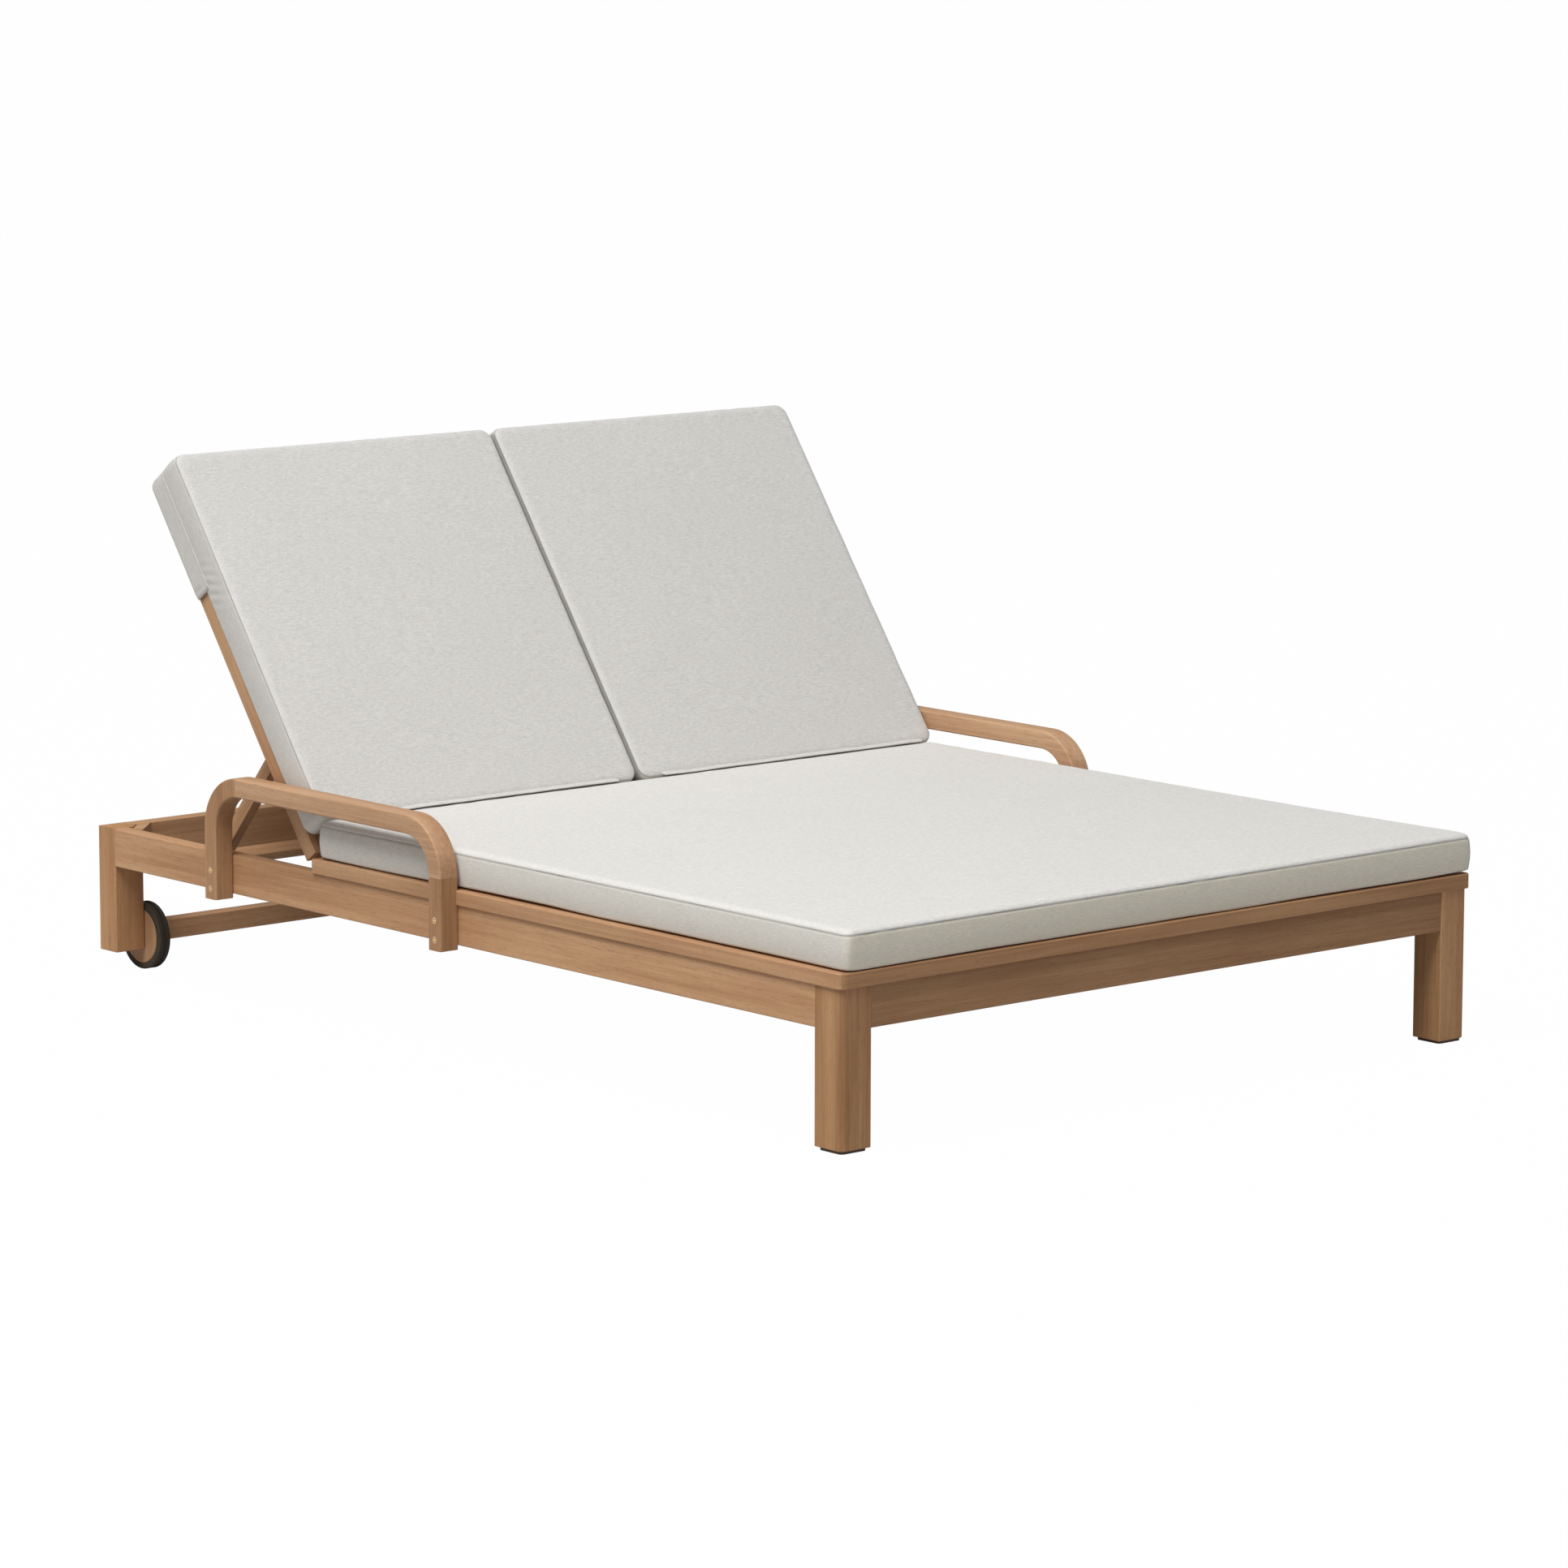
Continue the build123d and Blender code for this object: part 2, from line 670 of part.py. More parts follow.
def hinge_leaf(x, fixed):
    """One leaf with its knuckles, as it lies when the back rest is flat."""
    half = hinge_half_length()
    if fixed:
        near, far = seat_end_y, seat_end_y + hinge_leaf_thickness
    else:
        far = hinge_y + hinge_gap / 2
        near = far - hinge_leaf_thickness
    top = hinge_z - hinge_barrel_radius - hinge_leaf_relief
    leaf = block(x - half, x + half, near, far, top - hinge_leaf_drop, top)
    for start in hinge_knuckles(fixed):
        leaf += block(x + start, x + start + hinge_knuckle_length, near, far, top, hinge_z)
        leaf += rod((x + start, hinge_y, hinge_z), (1, 0, 0), hinge_knuckle_length, hinge_barrel_radius)
    bore_radius = hinge_pin_radius + fit_clearance
    return leaf - rod((x - half, hinge_y, hinge_z), (1, 0, 0), 2 * half, bore_radius)


def leaf_screw_holes(face_y, toward_y):
    """Holes through the leaves, and the screws that fill them start at the face of the leaf."""
    return hinge_screws(face_y - toward_y * hinge_leaf_thickness, toward_y, hinge_screw_radius + fit_clearance)


def make_fixed_leaves():
    leaves = []
    for x in hinge_centers():
        leaf = hinge_leaf(x, True)
        for hole in leaf_screw_holes(seat_end_y, -1):
            leaf -= hole
        leaves.append(leaf)
    return leaves


def make_moving_leaves():
    leaves = []
    for x in hinge_centers():
        leaf = hinge_leaf(x, False)
        for hole in leaf_screw_holes(hinge_y + hinge_gap / 2, 1):
            leaf -= hole
        leaves.append(raised(leaf))
    return leaves


def make_hinge_pins():
    half = hinge_half_length()
    return [rod((x - half, hinge_y, hinge_z), (1, 0, 0), 2 * half, hinge_pin_radius) for x in hinge_centers()]


def make_fixed_screws():
    return hinge_screws(seat_end_y + hinge_leaf_thickness, -1, hinge_screw_radius)


def make_moving_screws():
    screws = hinge_screws(hinge_y + hinge_gap / 2 - hinge_leaf_thickness, 1, hinge_screw_radius)
    return [raised(screw) for screw in screws]


def back_slat_span():
    """Where the slats of a back rest start and stop along it."""
    return hinge_gap / 2 + back_rail_width, back_frame_length - back_rail_width


def make_stile(outer):
    """Side member of the left back rest, rebated for the slats and bored for the strut bolt."""
    if outer:
        near, far, rebate = back_outer_x, outer_stile_inner_x, outer_stile_inner_x + back_slat_rebate
    else:
        near, far, rebate = back_inner_x, inner_stile_inner_x, inner_stile_inner_x - back_slat_rebate
    start, end = back_slat_span()
    stile = block(-near, -far, hinge_y + hinge_gap / 2, hinge_y + back_frame_length, rail_top, back_face_z)
    stile = eased(stile, Axis.Y, edge_round)
    stile -= block(-far, -rebate, hinge_y + start, hinge_y + end, back_face_z - back_slat_thickness, back_face_z)
    stile -= strut_bolt(outer, strut_bolt_radius + fit_clearance)
    return raised(stile)


def make_back_rail(start):
    """Cross member of the left back rest, starting at a distance from the hinge."""
    rail = block(-outer_stile_inner_x, -inner_stile_inner_x, hinge_y + start, hinge_y + start + back_rail_width,
                 rail_top, back_face_z)
    for hole in hinge_screws(hinge_y + hinge_gap / 2, 1, hinge_screw_radius + fit_clearance):
        rail -= hole
    return raised(rail)


def make_back_slats():
    """Thin slats let into the stiles."""
    start, end = back_slat_span()
    free = end - start - back_slat_count * back_slat_width
    gap = free / (back_slat_count + 1)
    reach = back_slat_rebate - back_slat_end_clearance
    slats = []
    for index in range(back_slat_count):
        y = hinge_y + start + gap + index * (back_slat_width + gap)
        slat = block(-outer_stile_inner_x - reach, -inner_stile_inner_x + reach, y, y + back_slat_width,
                     back_face_z - back_slat_thickness, back_face_z)
        slats.append(raised(eased(slat, Axis.X, edge_round)))
    return slats


def strut_bolt(outer, radius):
    """Pivot bolt of one strut arm, from the arm's inner face into the stile."""
    if outer:
        start_x, direction = -(strut_outer_x - strut_width), -1
    else:
        start_x, direction = -(strut_inner_x + strut_width), 1
    length = strut_width + strut_stile_gap + strut_bolt_depth_in_stile
    return rod((start_x, strut_pivot_y, strut_pivot_z), (direction, 0, 0), length, radius)


def make_strut_bolts():
    """Bolts with round heads, one for each arm of the left strut."""
    bolts = []
    for outer in (True, False):
        bolt = strut_bolt(outer, strut_bolt_radius)
        if outer:
            head_x, direction = -(strut_outer_x - strut_width - strut_bolt_head_gap), 1
        else:
            head_x, direction = -(strut_inner_x + strut_width + strut_bolt_head_gap), -1
        neck = rod((head_x, strut_pivot_y, strut_pivot_z), (-direction, 0, 0), strut_bolt_head_gap,
                   strut_bolt_radius)
        head = rod((head_x, strut_pivot_y, strut_pivot_z), (direction, 0, 0),
                   strut_bolt_head_thickness, strut_bolt_head_radius)
        bolts.append(raised(bolt + neck + head))
    return bolts


def strut_pose(solid):
    """Swing a strut piece out of the flat back rest, then raise it with the back rest."""
    pivot = Axis((0, strut_pivot_y, strut_pivot_z), (1, 0, 0))
    return raised(solid.rotate(pivot, -strut_rest_angle - strut_folded_angle))


def make_strut_arm(outer):
    """Arm with a round head on the pivot and a square foot."""
    near = strut_outer_x if outer else strut_inner_x + strut_width
    half = strut_depth / 2
    end = strut_pivot_y + strut_reach + strut_bar_height / 2
    arm = block(-near, -(near - strut_width), strut_pivot_y, end, strut_pivot_z - half, strut_pivot_z + half)
    arm += rod((-near, strut_pivot_y, strut_pivot_z), (1, 0, 0), strut_width, half)
    bore = rod((-near, strut_pivot_y, strut_pivot_z), (1, 0, 0), strut_width, strut_bolt_radius + strut_bolt_clearance)
    return strut_pose(arm - bore)


def make_strut_bar():
    """Bar between the feet of the two arms."""
    middle = strut_pivot_y + strut_reach
    half = strut_depth / 2
    bar = block(-(strut_outer_x - strut_width), -(strut_inner_x + strut_width),
                middle - strut_bar_height / 2, middle + strut_bar_height / 2, strut_pivot_z - half, strut_pivot_z + half)
    return strut_pose(eased(bar, Axis.X, edge_round))


def strut_foot_low():
    """Y and Z of the lowest corner of the strut's foot at rest."""
    turn = math.radians(rest_angle)
    from_pin_y = strut_pivot_from_hinge
    from_pin_z = -strut_pivot_depth - hinge_pin_rise
    pivot_y = hinge_y + from_pin_y * math.cos(turn) - from_pin_z * math.sin(turn)
    pivot_z = hinge_z + from_pin_y * math.sin(turn) + from_pin_z * math.cos(turn)
    slope = math.radians(strut_rest_angle + strut_folded_angle - rest_angle)
    reach = strut_reach + strut_bar_height / 2
    half = strut_depth / 2
    foot_at_y = pivot_y + reach * math.cos(slope) - half * math.sin(slope)
    foot_at_z = pivot_z - reach * math.sin(slope) - half * math.cos(slope)
    return foot_at_y, foot_at_z


def rack_places():
    """Start, length and top of the racks, from where the strut's foot stands to short of the corner block."""
    foot_at_y, foot_at_z = strut_foot_low()
    slope = math.radians(strut_rest_angle + strut_folded_angle - rest_angle)
    foot_front = foot_at_y - strut_bar_height * math.cos(slope)
    start = foot_front - rack_stop_gap - rack_stop_length
    length = rear_rail_inner_y - block_reach - rack_block_gap - start
    return start, length, foot_at_z - soft_gap


def rack_screws(radius):
    """Screws through the racks: two into the left side rail, two into the left middle rail."""
    start, rack_length, top = rack_places()
    screws = []
    for face_x, direction in ((-rail_inner_x + rack_thickness, -1), (-center_outer_x - rack_thickness, 1)):
        for y in (start + rack_stop_length / 2, start + rack_length - rack_stop_length / 2):
            screws.append(rod((face_x, y, (rail_bottom + top) / 2 - rack_notch_depth / 2), (direction, 0, 0),
                              rack_screw_length, radius))
    return screws


def make_rack(side_rail):
    """Notched board for the strut's foot, with a stop at its front end."""
    start, rack_length, top = rack_places()
    if side_rail:
        near, far = -rail_inner_x, -rail_inner_x + rack_thickness
    else:
        near, far = -center_outer_x - rack_thickness, -center_outer_x
    rack = block(near, far, start, start + rack_length, rail_bottom, top)
    rack += block(near, far, start, start + rack_stop_length, top, top + rack_stop_rise)
    notches_start = start + rack_stop_length + rack_notch_width
    pitch = (start + rack_length - notches_start) / rack_notch_count
    for index in range(rack_notch_count):
        front = notches_start + index * pitch
        outline = make_face(Polyline(
            (front, top), (front + rack_notch_width, top), (front + rack_notch_width, top - rack_notch_depth),
            close=True))
        plane = Plane(origin=(near, 0, 0), x_dir=(0, 1, 0), z_dir=(1, 0, 0))
        rack -= extrude(plane * outline, rack_thickness)
    for screw in rack_screws(rack_screw_radius + fit_clearance):
        rack -= screw
    return rack


def curved_section(width, height, crown, bulge):
    """Closed wire across a cushion: flat below, bowed sides, crowned top."""
    half = width / 2
    bottom = Line((-half + bulge, 0), (half - bulge, 0))
    right = ThreePointArc((half - bulge, 0), (half, height / 2), (half - bulge, height))
    top = ThreePointArc((half - bulge, height), (0, height + crown), (-half + bulge, height))
    left = ThreePointArc((-half + bulge, height), (-half, height / 2), (-half + bulge, 0))
    return make_face(Wire([bottom, right, top, left]))


def drawn_outline(width, length):
    """Plan of a cushion whose four sides pull in between its corners."""
    half_x, half_y, pull = width / 2, length / 2, cushion_draw_in
    outline = make_face(Wire([
        ThreePointArc((-half_x, -half_y), (0, -half_y + pull), (half_x, -half_y)),
        ThreePointArc((half_x, -half_y), (half_x - pull, 0), (half_x, half_y)),
        ThreePointArc((half_x, half_y), (0, half_y - pull), (-half_x, half_y)),
        ThreePointArc((-half_x, half_y), (-half_x + pull, 0), (-half_x, -half_y))]))
    return fillet(outline.vertices(), cushion_corner_radius)


def cushion_form(width, length, crown):
    """A box cushion on the ground plane, centred, with its crown, bowed sides and drawn-in plan."""
    sections = []
    for station, rise in zip(crown_station_shares, crown_height_shares):
        plane = Plane(origin=(0, station * length, 0), x_dir=(1, 0, 0), z_dir=(0, -1, 0))
        sections.append(plane * curved_section(width, cushion_thickness, crown * rise, cushion_side_bulge))
    body = loft(sections)
    side_plane = Plane(origin=(-width / 2, 0, 0), x_dir=(0, 1, 0), z_dir=(1, 0, 0))
    side = extrude(side_plane * curved_section(length, cushion_thickness + 2 * crown, crown, cushion_side_bulge), width)
    plan = extrude(drawn_outline(width, length), cushion_thickness + 2 * crown)
    return body & plan & side


def make_seat_cushion():
    form = cushion_form(seat_cushion_width, seat_cushion_length, seat_cushion_crown)
    middle = foot_y + seat_cushion_front_set + seat_cushion_length / 2
    return Pos(0, middle, seat_height + soft_gap) * form


def make_back_cushion():
    """Left back cushion, lying on the slats of its back rest."""
    length = back_cushion_end - back_cushion_start
    form = cushion_form(back_cushion_width, length, back_cushion_crown)
    middle = hinge_y + back_cushion_start + length / 2
    return raised(Pos(-back_middle_x, middle, back_face_z + soft_gap) * form)


def make_hood():
    """Pocket behind the left back cushion that slips over the head end of the frame.

    Its back wall starts further up than its sides, which leaves room for the folded strut.
    """
    half = back_cushion_width / 2
    end = hinge_y + back_cushion_end - cushion_draw_in - edge_round
    start = hinge_y + back_cushion_end - hood_length
    low = rail_top - soft_gap - hood_back_wall
    shell = block(-back_middle_x - half, -back_middle_x + half, start, end, low, back_face_z + soft_gap)
    shell = eased(shell, Axis.Z, edge_round)
    inner_half = half - hood_wall
    hollow = block(-back_middle_x - inner_half, -back_middle_x + inner_half, start - cut_overrun,
                   hinge_y + back_frame_length + soft_gap, rail_top - soft_gap, back_face_z + soft_gap)
    strut_way = block(-back_middle_x - inner_half, -back_middle_x + inner_half, start - cut_overrun,
                      start + hood_back_step, low - cut_overrun, back_face_z + soft_gap)
    return raised(shell - hollow - strut_way)


def save_pair(kind, solids):
    """Write the left pieces and their mirror images as two nodes."""
    pieces = solids if isinstance(solids, list) else [solids]
    save("left_" + kind, pieces)
    save("right_" + kind, [flipped(piece) for piece in pieces])


def save_frame():
    save_pair("front_leg", make_front_leg())
    save_pair("rear_leg", make_rear_leg())
    save_pair("side_rail", make_side_rail())
    save("front_apron", make_front_apron())
    save("rear_rail", make_rear_rail())
    save_pair("center_rail", make_center_rail())
    save("seat_cross_rails", both([make_seat_cross_rail()]))
    save("corner_blocks", both([make_corner_block(1), make_corner_block(-1)]))
    bolts = make_hanger_bolts(1) + make_hanger_bolts(-1)
    save("hanger_bolts_and_wing_nuts", both(bolts + make_wing_nuts(1) + make_wing_nuts(-1)))
    save("frame_dowels", both(side_dowels(dowel_radius) + end_dowels(dowel_radius)))
    save("foot_glides", both([make_glide()]))


def save_seat():
    left_board, front_board = border_boards()
    save_pair("border_board", left_board)
    save("front_border_board", front_board)
    save("rear_board", make_rear_board())
    save("seat_slats", make_seat_slats())
    save("slat_ledgers", both([make_ledger()]))
    save("seat_cushion", make_seat_cushion())


def save_arms():
    front_post, bar, rear_post = arm_pieces()
    save_pair("arm_bar", bar)
    save_pair("arm_posts", [front_post, rear_post])
    save("arm_bolts_and_inserts", both(make_arm_bolts() + make_arm_inserts()))


def save_wheels():
    save_pair("wheel_disc", make_wheel_disc())
    save_pair("wheel_tyre", make_tyre())
    save_pair("wheel_bush", make_wheel_bush())
    save("axle_beam", make_axle_beam())
    save("axle_pins_and_washers", both([make_axle()] + make_axle_washers()))


def save_backs():
    save_pair("back_outer_stile", make_stile(True))
    save_pair("back_inner_stile", make_stile(False))
    save_pair("back_bottom_rail", make_back_rail(hinge_gap / 2))
    save_pair("back_top_rail", make_back_rail(back_frame_length - back_rail_width))
    save_pair("back_slats", make_back_slats())
    save_pair("back_cushion", make_back_cushion())
    save_pair("cushion_hood", make_hood())
    save_pair("moving_hinge_leaves", make_moving_leaves() + make_moving_screws())
    save("fixed_hinge_leaves_and_pins", both(make_fixed_leaves() + make_hinge_pins()))


def save_struts():
    save_pair("strut_arms", [make_strut_arm(True), make_strut_arm(False)])
    save_pair("strut_bar", make_strut_bar())
    save_pair("strut_bolts", make_strut_bolts())
    save("strut_racks", both([make_rack(True), make_rack(False)]))
    save("wood_screws", both(make_fixed_screws() + rack_screws(rack_screw_radius)))


save_frame()
save_seat()
save_arms()
save_wheels()
save_backs()
save_struts()
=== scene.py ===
import json
import math

import bpy
import numpy as np
from bpy.props import FloatProperty, FloatVectorProperty, IntProperty, PointerProperty
from mathutils import Matrix, Vector


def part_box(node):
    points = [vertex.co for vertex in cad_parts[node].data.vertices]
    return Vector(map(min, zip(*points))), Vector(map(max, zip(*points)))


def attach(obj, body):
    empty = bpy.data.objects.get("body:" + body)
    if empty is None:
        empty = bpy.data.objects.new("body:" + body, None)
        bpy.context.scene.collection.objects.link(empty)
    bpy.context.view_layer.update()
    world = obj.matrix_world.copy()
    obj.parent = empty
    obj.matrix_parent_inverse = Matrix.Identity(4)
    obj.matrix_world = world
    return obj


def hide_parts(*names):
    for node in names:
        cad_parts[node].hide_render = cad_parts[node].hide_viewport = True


bl_info = {
    "name": "Double Chaise Lounger",
    "version": (1, 0, 0),
    "blender": (4, 5, 0),
    "location": "View3D > Sidebar > Lounger",
    "description": "Dresses the lounger's frame in wood, metal and upholstery",
    "category": "Object",
}

# All lengths are in metres, in the frame's own axes: X across, Y from foot to head, Z up.
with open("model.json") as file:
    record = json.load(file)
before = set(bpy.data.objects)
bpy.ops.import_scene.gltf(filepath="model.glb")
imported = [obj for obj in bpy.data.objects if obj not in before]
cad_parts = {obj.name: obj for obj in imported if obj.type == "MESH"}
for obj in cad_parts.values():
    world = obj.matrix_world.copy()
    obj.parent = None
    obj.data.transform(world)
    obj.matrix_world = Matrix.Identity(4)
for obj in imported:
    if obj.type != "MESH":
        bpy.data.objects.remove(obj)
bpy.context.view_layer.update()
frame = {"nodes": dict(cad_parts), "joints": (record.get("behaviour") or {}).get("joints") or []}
nodes = frame["nodes"]

# Where the back rests turn, and the angle that they have at rest.
recline = next(joint for joint in frame["joints"] if joint["name"] == "left_back_recline")
hinge_y = recline["pos_m"][1]
hinge_z = recline["pos_m"][2]
back_angle = math.radians(54.0)
strut_angle = math.radians(49.4)
slat_face_below_hinge = 0.0045
cushion_gap = 0.0003

# The back cushions, measured up the back rest from its hinge; their hoods reach behind the frame's back.
back_cushion_half_width = 0.345
back_cushion_start = 0.034
back_cushion_length = 0.722
back_cushion_middle = 0.349
hood_start = 0.514
hood_depth = 0.0318

# The folded band along the foot of each back cushion; its middle is further out than the cushion's.
flap_half_width = 0.3085
flap_start = 0.0360
flap_middle = 0.3575

seat_low, seat_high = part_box("seat_cushion")

# Each cushion's fabric: how much of its colour it keeps, a painted warm bounced-light tint for its foot end
# and a painted shade tint for its sides.
seat_cloth = (0.98, (1.0, 0.96, 0.85), (0.91, 0.90, 0.86))
# The back cloth keeps less of its colour as painted shade on faces turned towards the lamp.
back_cloth = (0.88, (1.0, 0.98, 0.92), (0.93, 0.92, 0.90))

# Where the random folds and ripples of the cushions start.
seat_seed = 3
back_seeds = {"left": 11, "right": 23}
flap_seed_step = 9


def linear(red, green, blue):
    """A colour given in display steps of 0 to 255, as scene-linear values."""
    shares = (red / 255, green / 255, blue / 255)
    return tuple(((share + 0.055) / 1.055) ** 2.4 if share > 0.04045 else share / 12.92 for share in shares)


class LoungerSizes(bpy.types.PropertyGroup):
    """Sizes of the upholstery that can be changed by hand."""
    side_height: FloatProperty(name="Side height", description="Height of a cushion's sides",
                               default=0.057, unit="LENGTH")
    seat_crown: FloatProperty(name="Seat crown", description="Rise of the seat cushion above its seams",
                              default=0.015, unit="LENGTH")
    back_crown: FloatProperty(name="Back crown", description="Rise of a back cushion above its seams",
                              default=0.008, unit="LENGTH")
    edge_roll_share: FloatProperty(name="Edge roll", description="Share of the crown beside the seam",
                                   default=0.6, subtype="FACTOR")
    roll_width: FloatProperty(name="Roll width", description="How far the edge roll reaches from the seam",
                              default=0.014, unit="LENGTH")
    bottom_round: FloatProperty(name="Bottom edge", description="Radius of a cushion's lower edges",
                                default=0.004, unit="LENGTH")
    draw_in: FloatProperty(name="Draw-in", description="How far the seat's sides pull in halfway along",
                           default=0.004, unit="LENGTH")
    side_bow: FloatProperty(name="Side bow", description="How far a side bulges between its two seams",
                            default=0.0018, unit="LENGTH")
    seat_corner: FloatProperty(name="Seat corner", description="Plan radius of the seat cushion's corners",
                               default=0.013, unit="LENGTH")
    back_corner: FloatProperty(name="Back corner", description="Plan radius of a back cushion's corners",
                               default=0.020, unit="LENGTH")
    seam_depth: FloatProperty(name="Seam depth", description="Depth of the groove at a seam",
                              default=0.0016, unit="LENGTH")
    pucker: FloatProperty(name="Pucker", description="Height of the small folds beside the seams",
                          default=0.0008, unit="LENGTH")
    pleat: FloatProperty(name="Pleats", description="Height of the slanting folds beside a hood's opening",
                         default=0.0006, unit="LENGTH")
    seat_drift: FloatProperty(name="Seat drift", description="How far right the seat's foot has slid",
                              default=0.006, unit="LENGTH")
    corner_lift: FloatProperty(name="Corner lift", description="Rise of the seat's right foot corner",
                               default=0.002, unit="LENGTH")
    around: IntProperty(name="Points around", description="Points round one cushion", default=760)
    hood_corner: FloatProperty(name="Hood corner", description="Radius of the hoods' edges",
                               default=0.006, unit="LENGTH")
    hood_step: FloatProperty(name="Hood step", description="How much further up a hood's back wall starts",
                             default=0.040, unit="LENGTH")
    hood_tuck: FloatProperty(name="Hood tuck", description="How far a hood reaches up its cushion's side",
                             default=0.012, unit="LENGTH")
    hood_wall: FloatProperty(name="Hood wall", description="Thickness of the hoods' fabric",
                             default=0.0012, unit="LENGTH")
    flap_height: FloatProperty(name="Flap height", description="Height of the band at a cushion's foot",
                               default=0.0105, unit="LENGTH")


class LoungerColours(bpy.types.PropertyGroup):
    """Colours of the lounger's materials."""
    wood: FloatVectorProperty(name="Wood", description="Main colour of the wood", subtype="COLOR",
                              default=linear(212, 174, 138))
    wood_dark: FloatVectorProperty(name="Wood grain", description="Colour of its grain", subtype="COLOR",
                                   default=linear(158, 117, 82))
    fabric: FloatVectorProperty(name="Fabric", description="Main colour of the fabric", subtype="COLOR",
                                default=linear(238, 236, 232))
    fabric_dark: FloatVectorProperty(name="Fabric fleck", description="Its darker thread", subtype="COLOR",
                                     default=linear(194, 191, 186))
    brass: FloatVectorProperty(name="Brass", description="Colour of the arm bolts", subtype="COLOR",
                               default=linear(250, 220, 180))
    steel: FloatVectorProperty(name="Steel", description="Colour of the plated fittings", subtype="COLOR",
                               default=linear(176, 176, 172))
    rubber: FloatVectorProperty(name="Rubber", description="Colour of the tyres and feet", subtype="COLOR",
                                default=linear(56, 48, 37))


def new_group(name, inputs, outputs):
    """An empty shader group with its sockets, given as (name, type, default)."""
    group = bpy.data.node_groups.new(name, "ShaderNodeTree")
    for label, kind, value in inputs:
        socket = group.interface.new_socket(label, in_out="INPUT", socket_type=kind)
        if value is not None:
            socket.default_value = value
    for label, kind in outputs:
        group.interface.new_socket(label, in_out="OUTPUT", socket_type=kind)
    return group, group.nodes.new("NodeGroupInput"), group.nodes.new("NodeGroupOutput")


def add_mapping(tree, source, scale, location=(0, 0, 0), rotation=(0, 0, 0)):
    """A vector scaled, turned and moved by constants."""
    node = tree.nodes.new("ShaderNodeMapping")
    node.inputs["Scale"].default_value = scale
    node.inputs["Location"].default_value = location
    node.inputs["Rotation"].default_value = rotation
    tree.links.new(source, node.inputs["Vector"])
    return node.outputs["Vector"]


def add_noise(tree, vector, scale, detail=3.0, roughness=0.5, distortion=0.0):
    """Grey noise along a vector."""
    node = tree.nodes.new("ShaderNodeTexNoise")
    node.inputs["Scale"].default_value = scale
    node.inputs["Detail"].default_value = detail
    node.inputs["Roughness"].default_value = roughness
    node.inputs["Distortion"].default_value = distortion
    tree.links.new(vector, node.inputs["Vector"])
    return node.outputs["Fac"]


def add_range(tree, value, low, high, new_low=0.0, new_high=1.0):
    """A value moved from one range to another, clamped."""
    node = tree.nodes.new("ShaderNodeMapRange")
    node.inputs["From Min"].default_value = low
    node.inputs["From Max"].default_value = high
    node.inputs["To Min"].default_value = new_low
    node.inputs["To Max"].default_value = new_high
    tree.links.new(value, node.inputs["Value"])
    return node.outputs["Result"]


def add_math(tree, operation, first, second):
    """One step of arithmetic; either side may be a socket or a number."""
    node = tree.nodes.new("ShaderNodeMath")
    node.operation = operation
    for index, value in enumerate((first, second)):
        if isinstance(value, (int, float)):
            node.inputs[index].default_value = value
        else:
            tree.links.new(value, node.inputs[index])
    return node.outputs["Value"]


def add_mix(tree, share, first, second, blend="MIX"):
    """Two colours mixed; each may be a socket or a colour."""
    node = tree.nodes.new("ShaderNodeMix")
    node.data_type = "RGBA"
    node.blend_type = blend
    for label, value in (("Factor", share), ("A", first), ("B", second)):
        socket = next(s for s in node.inputs if s.name == label and (label == "Factor" or s.type == "RGBA"))
        if isinstance(value, (int, float)):
            socket.default_value = value
        elif isinstance(value, (tuple, list)):
            socket.default_value = (*value[:3], 1.0)
        else:
            tree.links.new(value, socket)
    return next(s for s in node.outputs if s.type == "RGBA")


